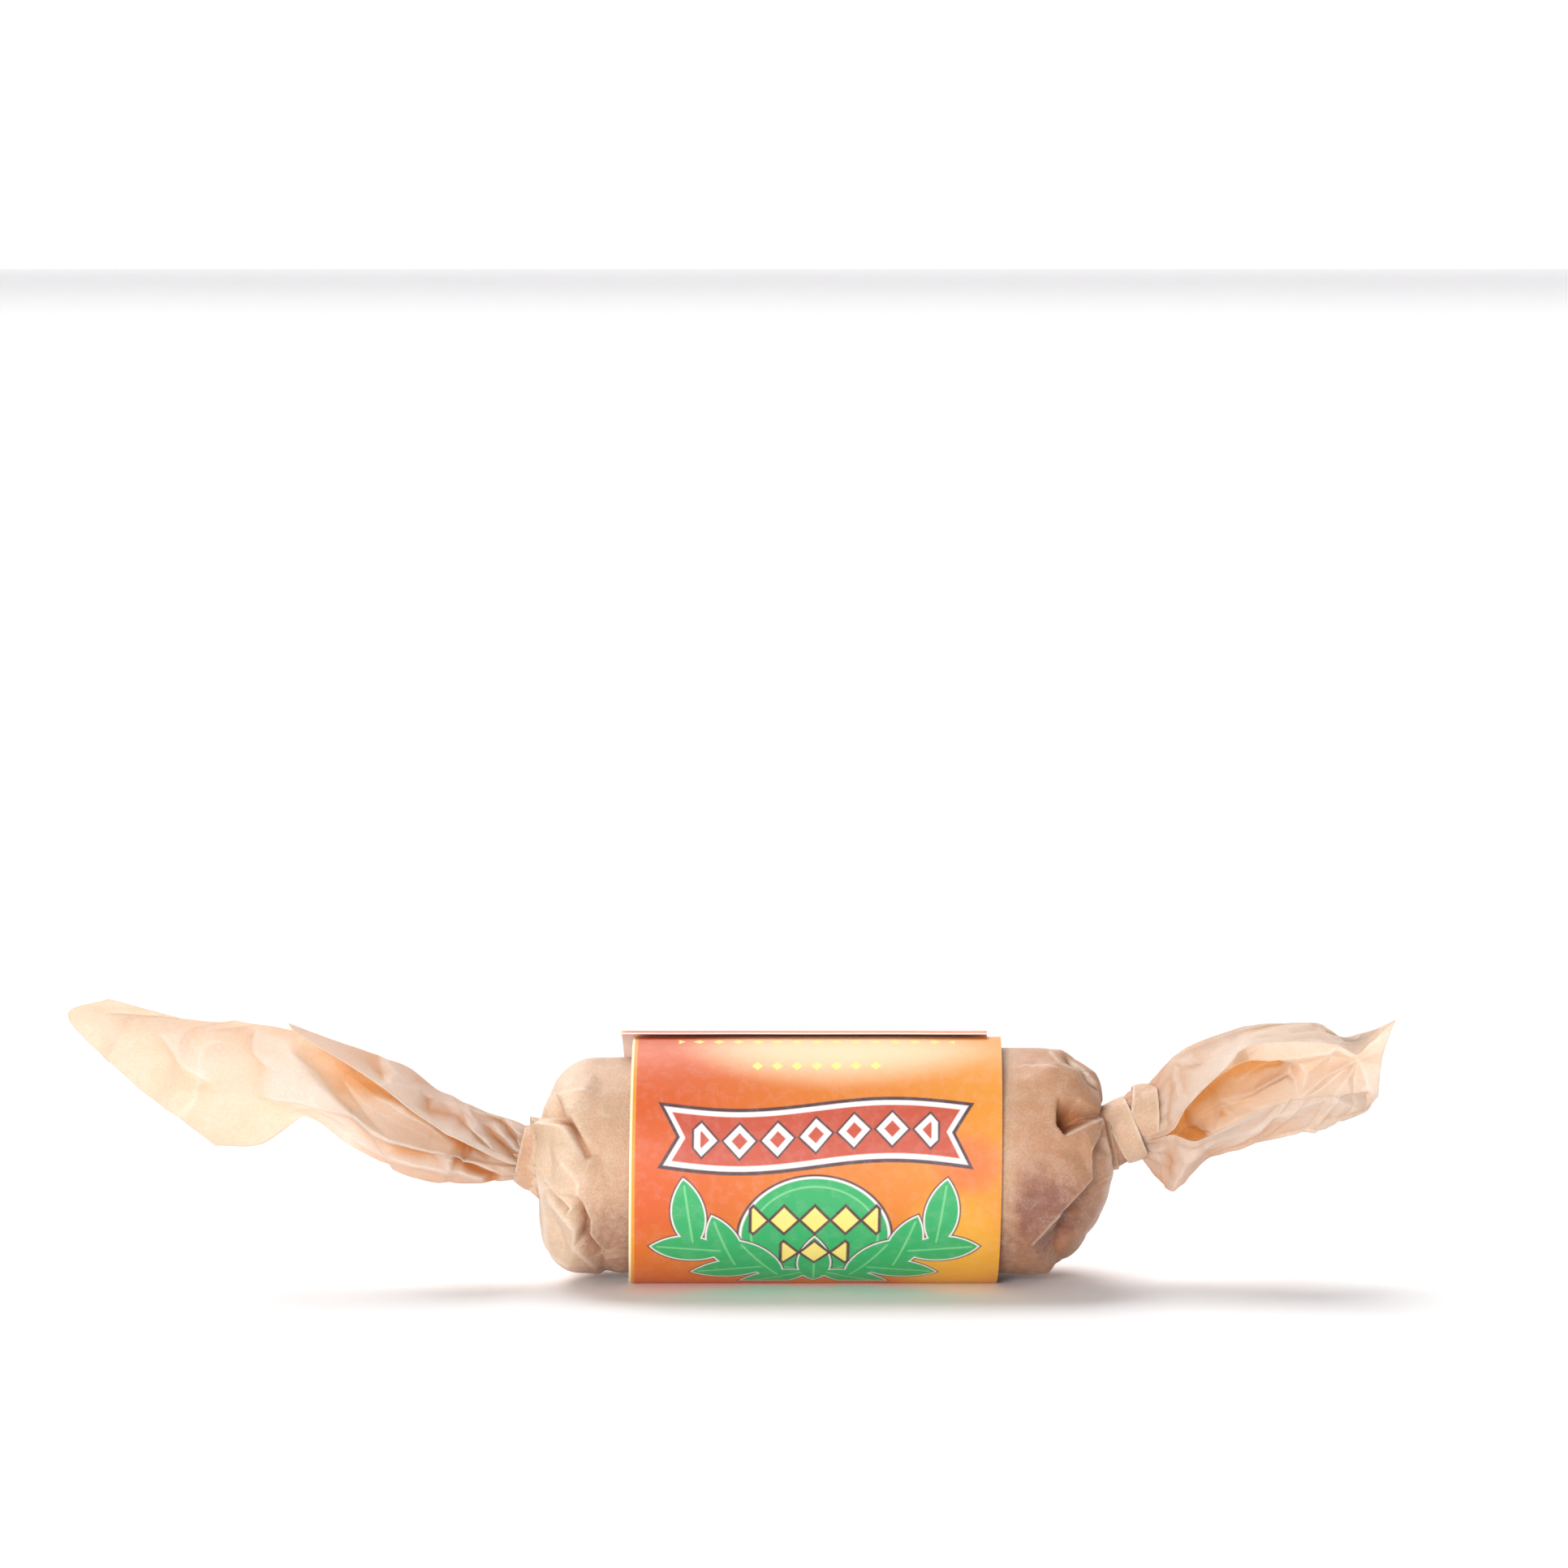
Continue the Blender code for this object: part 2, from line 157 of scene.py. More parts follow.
def smooth_line(points: np.ndarray, count: int) -> np.ndarray:
    """Lay evenly spaced points on a smooth curve through a few points.

    Args:
        points: The points that the curve passes.
        count: How many points to return.

    Returns:
        An array of count points.
    """
    points = np.asarray(points, float)
    gaps = np.sqrt(np.linalg.norm(np.diff(points, axis=0), axis=1))
    knots = np.concatenate([[0.0], np.cumsum(gaps)])
    slopes = np.gradient(points, knots, axis=0)
    fine = np.linspace(0.0, knots[-1], LINE_SAMPLES)
    index = np.clip(np.searchsorted(knots, fine) - 1, 0, len(gaps) - 1)
    span = gaps[index][:, None]
    part = (fine - knots[index])[:, None] / span
    curve = hermite(points[index], slopes[index] * span, points[index + 1], slopes[index + 1] * span, part)
    run = run_along(curve)
    even = np.linspace(0.0, run[-1], count)
    return np.stack([np.interp(even, run, curve[:, axis]) for axis in range(points.shape[1])], axis=1)


@dataclass(frozen=True)
class SoftNoise:
    """Smooth seeded noise in space, from -1 to 1.

    Attributes:
        seed: Picks the pattern.
        pitch: Distance in millimetres between its bumps.
        cells: How many bumps there are before it repeats.
        offset: Added to every place, so that none is negative.
    """

    seed: int
    pitch: float
    cells: int = 24
    offset: float = 1000.0

    def at(self, points: np.ndarray) -> np.ndarray:
        """Read the noise at points in millimetres.

        Args:
            points: An array of 3-D points.

        Returns:
            One number for each point.
        """
        table = np.random.default_rng(self.seed).uniform(-1.0, 1.0, (self.cells,) * 3)
        place = points / self.pitch + self.offset
        low = np.floor(place).astype(int)
        part = smooth_step(place - low)
        total = np.zeros(len(points))
        for corner in range(8):
            step = np.array([(corner >> axis) & 1 for axis in range(3)])
            weight = np.prod(np.where(step == 1, part, 1.0 - part), axis=1)
            index = (low + step) % self.cells
            total += weight * table[index[:, 0], index[:, 1], index[:, 2]]
        return total


@dataclass(frozen=True)
class Creases:
    """Straight seeded creases over a sheet, each a low tent with a sharp top.

    Attributes:
        seed: Picks the creases.
        count: How many there are.
        height: Greatest height in millimetres.
        width: Least and greatest half width in millimetres.
        length: Least and greatest length in millimetres.
        lean: How far a crease may turn from the sheet's length, in radians.
        least: Least share of the greatest height.
        taper: Share of its half length over which a crease fades at each end.
        sharpness: How sharp the top is.
        top: Half width of the top that is worn, in millimetres.
    """

    seed: int
    count: int
    height: float
    width: tuple[float, float]
    length: tuple[float, float]
    lean: float
    least: float = 0.35
    taper: float = 0.5
    sharpness: float = 1.25
    top: float = 0.12

    def over(self, along: np.ndarray, across: np.ndarray) -> tuple[np.ndarray, np.ndarray]:
        """Read the relief of the creases on a sheet.

        Args:
            along: Place of each point along the sheet, in millimetres.
            across: Place of each point across it, in millimetres.

        Returns:
            Heights in millimetres, and how close each point is to the top of a crease, from 0 to 1.
        """
        draw = np.random.default_rng(self.seed)
        height = np.zeros_like(along)
        close = np.zeros_like(along)
        for _ in range(self.count):
            middle = (draw.uniform(along.min(), along.max()), draw.uniform(across.min(), across.max()))
            angle = draw.uniform(-self.lean, self.lean)
            half = draw.uniform(*self.length) / 2
            width = draw.uniform(*self.width)
            tall = self.height * draw.uniform(self.least, 1.0) * draw.choice((-1.0, 1.0))
            run = (along - middle[0]) * math.cos(angle) + (across - middle[1]) * math.sin(angle)
            off = np.abs((across - middle[1]) * math.cos(angle) - (along - middle[0]) * math.sin(angle))
            ends = smooth_step((half - np.abs(run)) / (self.taper * half))
            tent = np.clip(1.0 - off / width, 0.0, 1.0) ** self.sharpness
            height += tall * tent * ends
            close = np.maximum(close, ends * np.clip(1.0 - off / self.top, 0.0, 1.0) * (tall > 0))
        return height, close


@dataclass(frozen=True)
class FrontView:
    """The candy seen from the front, on the upright plane through its axis, in millimetres."""

    eye: Point = (-2.14, -485.68, 81.23)

    def of(self, points: np.ndarray) -> np.ndarray:
        """Find where points are seen.

        Args:
            points: An array of 3-D points.

        Returns:
            Places across and up the view.
        """
        eye = np.array(self.eye)
        scale = eye[1] / (eye[1] - points[:, 1])
        return eye[[0, 2]] + (points[:, [0, 2]] - eye[[0, 2]]) * scale[:, None]


@dataclass(frozen=True)
class Crease:
    """A crease in a sheet, seen from the front. Lengths are in millimetres.

    Attributes:
        path: Places that it passes, across and up the view. Left of its run counts as above it.
        rise: How far the paper just above it stands towards the viewer.
        drop: The same just below it.
        reach: How far the paper above it takes to come back.
        under: The same below it.
        edge: Width of the step from the one side to the other.
        painted_fold_shade: How much painted shade the lower side takes, deep in the fold, from 0 to 1.
        worn: How pale the edge is worn, from 0 to 1.
        steps: How many places its path is split into.
        taper: Share of its length over which it fades at each end.
        power: How fast the paper comes back.
        worn_half: Half width of the worn edge.
        least_end: How much of it is left at its very ends, as a part of the fade.
        past: How far past its ends it goes.
        fold_shade_reach: Share of the lower side's reach over which the painted shade falls.
    """

    path: tuple[tuple[float, float], ...]
    rise: float
    drop: float
    reach: float = 1.0
    under: float = 1.0
    edge: float = 0.12
    painted_fold_shade: float = 0.0
    worn: float = 0.0
    steps: int = 48
    taper: float = 0.22
    power: float = 1.5
    worn_half: float = 0.13
    least_end: float = 0.05
    past: float = 0.3
    fold_shade_reach: float = 0.7

    def press(self, seen: np.ndarray) -> tuple[np.ndarray, np.ndarray, np.ndarray]:
        """Work out what the crease does to the paper.

        Args:
            seen: Where the points are seen.

        Returns:
            Shift towards the viewer, the painted shade deep in the fold at each point, and how worn it is.
        """
        line = smooth_line(np.array(self.path), self.steps)
        widest = max(self.reach, self.under)
        near = np.all((seen > line.min(axis=0) - widest) & (seen < line.max(axis=0) + widest), axis=1)
        shift, deep, worn = (np.zeros(len(seen)) for _ in range(3))
        chosen = seen[near]
        if len(chosen) == 0:
            return shift, deep, worn
        offset = chosen[:, None, :] - line[None, :, :]
        nearest = np.argmin(np.einsum("ijk,ijk->ij", offset, offset), axis=1)
        row = np.arange(len(chosen))
        run = np.gradient(line, axis=0)[nearest]
        run /= np.linalg.norm(run, axis=1, keepdims=True)
        off = offset[row, nearest]
        along = np.einsum("ij,ij->i", off, run)
        across = run[:, 0] * off[:, 1] - run[:, 1] * off[:, 0]
        distance = np.abs(across)
        part = nearest / (len(line) - 1)
        ends = smooth_step(part / self.taper + self.least_end)
        ends *= smooth_step((1 - part) / self.taper + self.least_end)
        ends *= np.exp(-((along / self.past) ** 2))
        above = smooth_step(across / self.edge + 0.5)
        up = self.rise * np.clip(1.0 - distance / self.reach, 0.0, 1.0) ** self.power
        down = self.drop * np.clip(1.0 - distance / self.under, 0.0, 1.0) ** self.power
        shift[near] = ends * (up * above + down * (1.0 - above))
        # Painted shade on the lower side, deep in the fold.
        fade = np.clip(1.0 - distance / (self.fold_shade_reach * self.under), 0.0, 1.0) ** self.power
        deep[near] = self.painted_fold_shade * ends * fade * (1.0 - above)
        from_edge = np.abs(across - 0.5 * self.edge)
        worn[near] = self.worn * ends * np.clip(1.0 - from_edge / self.worn_half, 0.0, 1.0)
        return shift, deep, worn


@dataclass(frozen=True)
class Facets:
    """Flat facets of crumpled paper between its folds and valleys, seen from the front, in millimetres.

    Attributes:
        runs: Every fold or valley: places across and up the view, and how far each stands towards the viewer.
        tall: How many times as far they really stand.
        margin: How far past the runs the paper is plain again.
        soft: How far the folds are rounded.
        painted_fold_shade: How much painted shade the paper takes for each millimetre that it lies back.
        worn: How pale a fold that stands out is worn, from 0 to 1.
        worn_half: Half width of the worn edge.
        proud: How far a fold stands out, on average, where it is worn.
        border: How many places each side of the plain border has.
    """

    runs: dict[str, tuple[Point, ...]]
    tall: float = 1.7
    margin: float = 1.2
    soft: float = 0.05
    painted_fold_shade: float = 1.0
    worn: float = 0.55
    worn_half: float = 0.14
    proud: float = 0.2
    border: int = 9

    def surface(self) -> tuple[np.ndarray, list]:
        """Join the runs with flat facets.

        Returns:
            The corners with their heights, and the facets.
        """
        places: list[Point] = []
        edges = []
        for run in self.runs.values():
            edges += [(len(places) + step, len(places) + step + 1) for step in range(len(run) - 1)]
            places += run
        known = np.array(places)
        low, high = known[:, :2].min(axis=0) - self.margin, known[:, :2].max(axis=0) + self.margin
        across, up = (np.linspace(low[axis], high[axis], self.border) for axis in (0, 1))
        border = [(x, z, 0.0) for x in across for z in (low[1], high[1])]
        border += [(x, z, 0.0) for x in (low[0], high[0]) for z in up[1:-1]]
        known = np.concatenate([known, border])
        flat = [Vector(place) for place in known[:, :2].tolist()]
        corners, _, facets, sources, _, _ = delaunay_2d_cdt(flat, edges, [], 0, 1e-4)
        made = []
        for corner, source in zip(corners, sources):
            weight = 1.0 / (np.linalg.norm(known[:, :2] - np.array(corner), axis=1) ** 4 + TINY)
            height = known[source[0], 2] if source else np.sum(weight * known[:, 2]) / np.sum(weight)
            made.append((corner[0], corner[1], height))
        return np.array(made), facets

    def heights(self, seen: np.ndarray) -> np.ndarray:
        """Read how far the facets stand towards the viewer.

        Args:
            seen: Where the points are seen.

        Returns:
            One number for each point.
        """
        corners, facets = self.surface()
        height = np.zeros(len(seen))
        for facet in facets:
            one, two, three = corners[list(facet)]
            sides = np.array([two[:2] - one[:2], three[:2] - one[:2]]).T
            if abs(np.linalg.det(sides)) < TINY:
                continue
            share = (seen - one[:2]) @ np.linalg.inv(sides).T
            inside = (share[:, 0] >= 0) & (share[:, 1] >= 0) & (share.sum(axis=1) <= 1)
            height[inside] = one[2] + share[inside] @ np.array([two[2] - one[2], three[2] - one[2]])
        return height

    def press(self, seen: np.ndarray) -> tuple[np.ndarray, np.ndarray, np.ndarray]:
        """Work out what the facets do to the paper.

        Args:
            seen: Where the points are seen.

        Returns:
            Shift towards the viewer, painted shade where the paper lies back, and how worn it is.
        """
        steps = self.soft * np.array([(0.0, 0.0), (1.0, 0.0), (-1.0, 0.0), (0.0, 1.0), (0.0, -1.0)])
        shift = np.mean([self.heights(seen + step) for step in steps], axis=0) * self.tall
        worn = np.zeros(len(seen))
        for run in self.runs.values():
            line = np.array(run)
            if line[:, 2].mean() < self.proud:
                continue
            for one, two in zip(line[:-1, :2], line[1:, :2]):
                along = np.clip((seen - one) @ (two - one) / np.sum((two - one) ** 2), 0.0, 1.0)
                away = np.linalg.norm(seen - one - along[:, None] * (two - one), axis=1)
                worn = np.maximum(worn, self.worn * np.clip(1.0 - away / self.worn_half, 0.0, 1.0))
        # Paper that lies back takes painted shade.
        return shift, np.clip(-shift * self.painted_fold_shade, 0.0, 1.0), worn


class Wire:
    """A number in a shader tree that takes ordinary arithmetic."""

    def __init__(self, sheet: "NodeSheet", socket: bpy.types.NodeSocket) -> None:
        """Keep the sheet of nodes and the socket that gives the number."""
        self.sheet = sheet
        self.socket = socket

    def math(self, operation: str, *others: "Wire | float") -> "Wire":
        """Feed this number and others to one Math node.

        Args:
            operation: The name of the Math node's operation.
            others: The other inputs.

        Returns:
            The node's result.
        """
        node = self.sheet.tree.nodes.new("ShaderNodeMath")
        node.operation = operation
        for number, value in enumerate((self, *others)):
            self.sheet.feed(node.inputs[number], value)
        return Wire(self.sheet, node.outputs[0])

    def __add__(self, other: "Wire | float") -> "Wire":
        """Add."""
        return self.math("ADD", other)

    def __sub__(self, other: "Wire | float") -> "Wire":
        """Take away."""
        return self.math("SUBTRACT", other)

    def __mul__(self, other: "Wire | float") -> "Wire":
        """Multiply."""
        return self.math("MULTIPLY", other)

    def __truediv__(self, other: "Wire | float") -> "Wire":
        """Divide."""
        return self.math("DIVIDE", other)

    def size(self) -> "Wire":
        """Drop the sign."""
        return self.math("ABSOLUTE")

    def _range(self, start: float, end: float, interpolation: str) -> "Wire":
        """Map this number from a range to 0 to 1.

        Args:
            start: What becomes 0.
            end: What becomes 1.
            interpolation: How it rises between them.

        Returns:
            The mapped number.
        """
        node = self.sheet.tree.nodes.new("ShaderNodeMapRange")
        node.interpolation_type = interpolation
        self.sheet.feed(node.inputs["Value"], self)
        node.inputs["From Min"].default_value = start
        node.inputs["From Max"].default_value = end
        return Wire(self.sheet, node.outputs["Result"])

    def inside(self, soft: float) -> "Wire":
        """Turn a distance into a mask: 1 where it is below 0, with a soft edge."""
        return self._range(soft / 2, -soft / 2, "LINEAR")

    def rise(self, start: float, end: float) -> "Wire":
        """Rise smoothly from 0 at start to 1 at end."""
        return self._range(start, end, "SMOOTHSTEP")


class NodeSheet:
    """A shader tree with short ways to add nodes."""

    def __init__(self, tree: bpy.types.NodeTree) -> None:
        """Keep the tree."""
        self.tree = tree

    def feed(self, socket: bpy.types.NodeSocket, value: "Wire | float | Colour | Point") -> None:
        """Set a socket, or link it where the value is a wire.

        Args:
            socket: The input socket.
            value: A wire or a plain value.
        """
        if isinstance(value, Wire):
            self.tree.links.new(value.socket, socket)
        else:
            socket.default_value = value

    def node(self, kind: str, inputs: dict[str, "Wire | float | Point"], output: str | int = 0) -> Wire:
        """Add a node and give back one of its outputs.

        Args:
            kind: The node's type.
            inputs: Values and wires for its named inputs.
            output: The output to give back.

        Returns:
            The wire from that output.
        """
        node = self.tree.nodes.new(kind)
        for name, value in inputs.items():
            self.feed(node.inputs[name], value)
        return Wire(self, node.outputs[output])

    def mix(
        self, share: "Wire | float", one: "Wire | Colour", two: "Wire | Colour", blend: str = "MIX"
    ) -> Wire:
        """Mix two colours.

        Args:
            share: How much of the second colour.
            one: The first colour.
            two: The second colour.
            blend: How they blend.

        Returns:
            The mixed colour.
        """
        node = self.tree.nodes.new("ShaderNodeMix")
        node.data_type = "RGBA"
        node.blend_type = blend
        self.feed(node.inputs[0], share)
        self.feed(node.inputs[6], one)
        self.feed(node.inputs[7], two)
        return Wire(self, node.outputs[2])

    def noise(self, place: Wire, scale: float, detail: float = 2.0, rough: float = 0.5) -> Wire:
        """Read noise at a place.

        Args:
            place: The wire with the place.
            scale: Bumps per unit.
            detail: How many finer layers it has.
            rough: How strong they are.

        Returns:
            Values around 0.5.
        """
        inputs = {"Vector": place, "Scale": scale, "Detail": detail, "Roughness": rough}
        return self.node("ShaderNodeTexNoise", inputs, "Fac")

    def scaled(self, place: Wire, pitch: Wire) -> Wire:
        """Multiply a place by a number.

        Args:
            place: The place.
            pitch: The number.

        Returns:
            The new place.
        """
        node = self.tree.nodes.new("ShaderNodeVectorMath")
        node.operation = "SCALE"
        self.feed(node.inputs[0], place)
        self.feed(node.inputs["Scale"], pitch)
        return Wire(self, node.outputs[0])

    def bump(self, shader: bpy.types.Node, strength: float, distance: float, height: Wire) -> None:
        """Give a shader small bumps.

        Args:
            shader: The shader.
            strength: How strong they are.
            distance: How tall they are, in metres.
            height: Their shape.
        """
        node = self.tree.nodes.new("ShaderNodeBump")
        node.inputs["Strength"].default_value = strength
        node.inputs["Distance"].default_value = distance
        self.feed(node.inputs["Height"], height)
        self.tree.links.new(node.outputs["Normal"], shader.inputs["Normal"])

    def attribute(self, name: str) -> Wire:
        """Read a number stored on the mesh's points.

        Args:
            name: The name that it is stored under.

        Returns:
            The number.
        """
        node = self.tree.nodes.new("ShaderNodeAttribute")
        node.attribute_name = name
        return Wire(self, node.outputs["Fac"])

    def group(self, tree: bpy.types.NodeTree, inputs: dict[str, "Wire | float"]) -> dict[str, Wire]:
        """Place a node group.

        Args:
            tree: The group.
            inputs: Values and wires for its inputs.

        Returns:
            A wire for each of its outputs.
        """
        node = self.tree.nodes.new("ShaderNodeGroup")
        node.node_tree = tree
        for name, value in inputs.items():
            self.feed(node.inputs[name], value)
        return {socket.name: Wire(self, socket) for socket in node.outputs}


class SharedEffects:
    """The node groups that several materials or motifs share."""

    def __init__(self) -> None:
        """Build every group once."""
        self.wax_cloud = self._wax_cloud()
        self.fibre = self._fibre()
        self.plain_leaf = self._plain_leaf()

    def _start(
        self, name: str, inputs: dict[str, str], outputs: dict[str, str]
    ) -> tuple[NodeSheet, dict[str, Wire], dict[str, bpy.types.NodeSocket]]:
        """Make an empty group with named sockets.

        Args:
            name: The group's name.
            inputs: Socket type for each input name.
            outputs: Socket type for each output name.

        Returns:
            The sheet, a wire for each input, and the input socket for each output.
        """
        tree = bpy.data.node_groups.new(name, "ShaderNodeTree")
        for socket, kind in inputs.items():
            tree.interface.new_socket(socket, in_out="INPUT", socket_type=kind)
        for socket, kind in outputs.items():
            tree.interface.new_socket(socket, in_out="OUTPUT", socket_type=kind)
        entry = tree.nodes.new("NodeGroupInput")
        leave = tree.nodes.new("NodeGroupOutput")
        sheet = NodeSheet(tree)
        wires = {socket: Wire(sheet, entry.outputs[socket]) for socket in inputs}
        ends = {socket: leave.inputs[socket] for socket in outputs}
        return sheet, wires, ends

    def _wax_cloud(self) -> bpy.types.NodeTree:
        """Make the cloudy mottling of wax in paper.

        Returns:
            A group with Cloud, Spots and Height.
        """
        sheet, wires, ends = self._start(
            "wax cloud",
            {"Place": "NodeSocketVector", "Pitch": "NodeSocketFloat"},
            {"Cloud": "NodeSocketFloat", "Spots": "NodeSocketFloat", "Height": "NodeSocketFloat"},
        )
        scaled = sheet.scaled(wires["Place"], wires["Pitch"])
        broad = sheet.noise(scaled, scale=0.55, detail=3.0, rough=0.6)
        fine = sheet.noise(scaled, scale=2.6, detail=4.0, rough=0.65)
        cloud = (broad - 0.5) * 1.5 + (fine - 0.5) * 1.1 + 0.5
        spots = sheet.noise(scaled, scale=9.0, detail=2.0, rough=0.6).rise(0.62, 0.78)
        height = fine * 0.6 + sheet.noise(scaled, scale=14.0, detail=2.0, rough=0.5) * 0.4
        for name, wire in (("Cloud", cloud), ("Spots", spots), ("Height", height)):
            sheet.feed(ends[name], wire)
        return sheet.tree

    def _fibre(self) -> bpy.types.NodeTree:
        """Make the short pale fibres of paper.

        Returns:
            A group with Fibre and Height.
        """
        sheet, wires, ends = self._start(
            "paper fibre",
            {"Place": "NodeSocketVector", "Pitch": "NodeSocketFloat"},
            {"Fibre": "NodeSocketFloat", "Height": "NodeSocketFloat"},
        )
        scaled = sheet.scaled(wires["Place"], wires["Pitch"])
        one = (sheet.noise(scaled, scale=3.0, detail=3.0, rough=0.7) - 0.5).size()
        two = (sheet.noise(scaled, scale=4.4, detail=3.0, rough=0.7) - 0.5).size()
        line = one.math("MINIMUM", two).rise(0.022, 0.0)
        patch = sheet.noise(scaled, scale=0.8, detail=1.0, rough=0.5).rise(0.45, 0.62)
        sheet.feed(ends["Fibre"], line * patch)
        grain = sheet.noise(scaled, scale=5.0, detail=3.0, rough=0.6)
        sheet.feed(ends["Height"], grain + line * 0.3)
        return sheet.tree

    def _plain_leaf(self) -> bpy.types.NodeTree:
        """Make the distance to one plain oval leaf with a pointed tip.

        Returns:
            A group with Distance and Rib.
        """
        rib_half, rib_inset = 0.07, 0.25
        numbers = ("X", "Y", "Middle X", "Middle Y", "Turn", "Half Length", "Half Width")
        sheet, wires, ends = self._start(
            "plain leaf",
            {name: "NodeSocketFloat" for name in numbers},
            {"Distance": "NodeSocketFloat", "Rib": "NodeSocketFloat"},
        )
        x = wires["X"] - wires["Middle X"]
        y = wires["Y"] - wires["Middle Y"]
        cosine, sine = wires["Turn"].math("COSINE"), wires["Turn"].math("SINE")
        along = x * cosine + y * sine
        across = (y * cosine - x * sine).size()
        length, width = wires["Half Length"], wires["Half Width"]
        radius = (length * length + width * width) / (width * 2.0)
        far = across + radius - width
        distance = (along * along + far * far).math("SQRT") - radius
        sheet.feed(ends["Distance"], distance)
        sheet.feed(ends["Rib"], (across - rib_half).math("MAXIMUM", distance + rib_inset))
        return sheet.tree


def new_material(name: str) -> tuple[bpy.types.Material, NodeSheet, bpy.types.Node]:
    """Start a material.

    Args:
        name: Its name.

    Returns:
        The material, its sheet of nodes and its Principled shader.
    """
    material = bpy.data.materials.new(name)
    material.use_nodes = True
    tree = material.node_tree
    return material, NodeSheet(tree), tree.nodes["Principled BSDF"]


@dataclass(frozen=True)
class WaxedPaper:
    """Tan waxed paper.

    Attributes:
        name: The material's name.
        pale: Colour of a single layer.
        tan: Colour of many layers.
        painted_fold_shade: Colour of the painted shade deep in a fold.
        caramel: Colour where the caramel shows through, and of the painted shade low on the body and on its
            right end.
        worn: Colour along a worn crease.
        mottle: What the darker spots of the wax multiply the colour by.
        through: Share of light that passes through the paper.
        glow: Colour of that light.
        roughness: How dull the wax is.
        spot: Colour of the small spots.
        cloud_pitch: Clouds of wax in a metre.
        fibre_pitch: Fibres in a metre.
        grain_pitch: Grains in a metre.
        relief: How tall the bumps are, in metres.
        cloud_layers: How many layers more a cloud of wax looks like.
        fold_shade_share: How strongly the painted shade shows deep in a fold.
        spot_share: How strongly the small spots show.
        fibre_share: How strongly the fibres show.
        worn_share: How strongly a worn crease shows.
        cloud_gloss: How much duller a cloud is.
        coat: Share of the glossy wax.
        coat_roughness: How dull that wax is.
        specular: How strongly the paper itself shines.
        bump: How strongly the bumps show.
    """

    name: str
    pale: Colour
    tan: Colour
    painted_fold_shade: Colour
    caramel: Colour = srgb(146, 98, 82)
    worn: Colour = srgb(254, 240, 226)
    mottle: Colour = srgb(226, 214, 202)
    through: float = 0.0
    glow: Colour = srgb(255, 253, 249)
    roughness: float = 0.5
    spot: Colour = srgb(196, 140, 96)
    cloud_pitch: float = 900.0
    fibre_pitch: float = 1200.0
    grain_pitch: float = 6500.0
    relief: float = 0.00016
    cloud_layers: float = 0.3
    fold_shade_share: float = 0.85
    spot_share: float = 0.18
    fibre_share: float = 0.3
    worn_share: float = 0.7
    cloud_gloss: float = 0.25
    coat: float = 0.12
    coat_roughness: float = 0.35
    specular: float = 0.45
    bump: float = 0.5

    def make(self, effects: SharedEffects) -> bpy.types.Material:
        """Make the material.

        Args:
            effects: The shared node groups.

        Returns:
            The material.
        """
        material, sheet, shader = new_material(self.name)
        place = sheet.node("ShaderNodeTexCoord", {}, "Object")
        cloud = sheet.group(effects.wax_cloud, {"Place": place, "Pitch": self.cloud_pitch})
        fibre = sheet.group(effects.fibre, {"Place": place, "Pitch": self.fibre_pitch})
        # The layers number also carries painted light and shade: the body's ends and the tails' raised or
        # sunken paper.
        layers = sheet.attribute("layers") + (cloud["Cloud"] - 0.5) * self.cloud_layers
        colour = sheet.mix(layers.rise(0.0, 1.0), self.pale, self.tan)
        # Painted shade: folds and hollows darken towards the fold colour.
        deep = sheet.attribute("painted_fold_shade").rise(0.0, 1.0) * self.fold_shade_share
        colour = sheet.mix(deep, colour, self.painted_fold_shade)
        # Caramel showing through, also used as painted shade low on the body and on its right end.
        shows = sheet.attribute("caramel") * (cloud["Cloud"] * 0.8 + 0.25)
        colour = sheet.mix(shows.rise(0.0, 1.0), colour, self.caramel)
        grain = sheet.noise(place, self.grain_pitch, detail=2.0, rough=0.7).rise(0.3, 0.7)
        shade = sheet.mix(cloud["Cloud"] * 0.5 + grain * 0.5, self.mottle, WHITE)
        colour = sheet.mix(1.0, colour, shade, "MULTIPLY")
        colour = sheet.mix(cloud["Spots"] * self.spot_share, colour, self.spot)
        colour = sheet.mix(fibre["Fibre"] * self.fibre_share, colour, self.worn)
        colour = sheet.mix(sheet.attribute("worn") * self.worn_share, colour, self.worn)
        sheet.feed(shader.inputs["Base Color"], colour)
        sheet.feed(shader.inputs["Roughness"], (cloud["Cloud"] - 0.5) * self.cloud_gloss + self.roughness)
        shader.inputs["Coat Weight"].default_value = self.coat
        shader.inputs["Coat Roughness"].default_value = self.coat_roughness
        shader.inputs["Specular IOR Level"].default_value = self.specular
        sheet.bump(shader, self.bump, self.relief, cloud["Height"] + fibre["Height"] * 0.6)
        if self.through > 0:
            passing = sheet.tree.nodes.new("ShaderNodeBsdfTranslucent")
            sheet.feed(passing.inputs["Color"], sheet.mix(1.0, colour, self.glow, "MULTIPLY"))
            blend = sheet.tree.nodes.new("ShaderNodeMixShader")
            blend.inputs[0].default_value = self.through
            sheet.tree.links.new(shader.outputs[0], blend.inputs[1])
            sheet.tree.links.new(passing.outputs[0], blend.inputs[2])
            sheet.tree.links.new(blend.outputs[0], sheet.tree.nodes["Material Output"].inputs["Surface"])
        return material


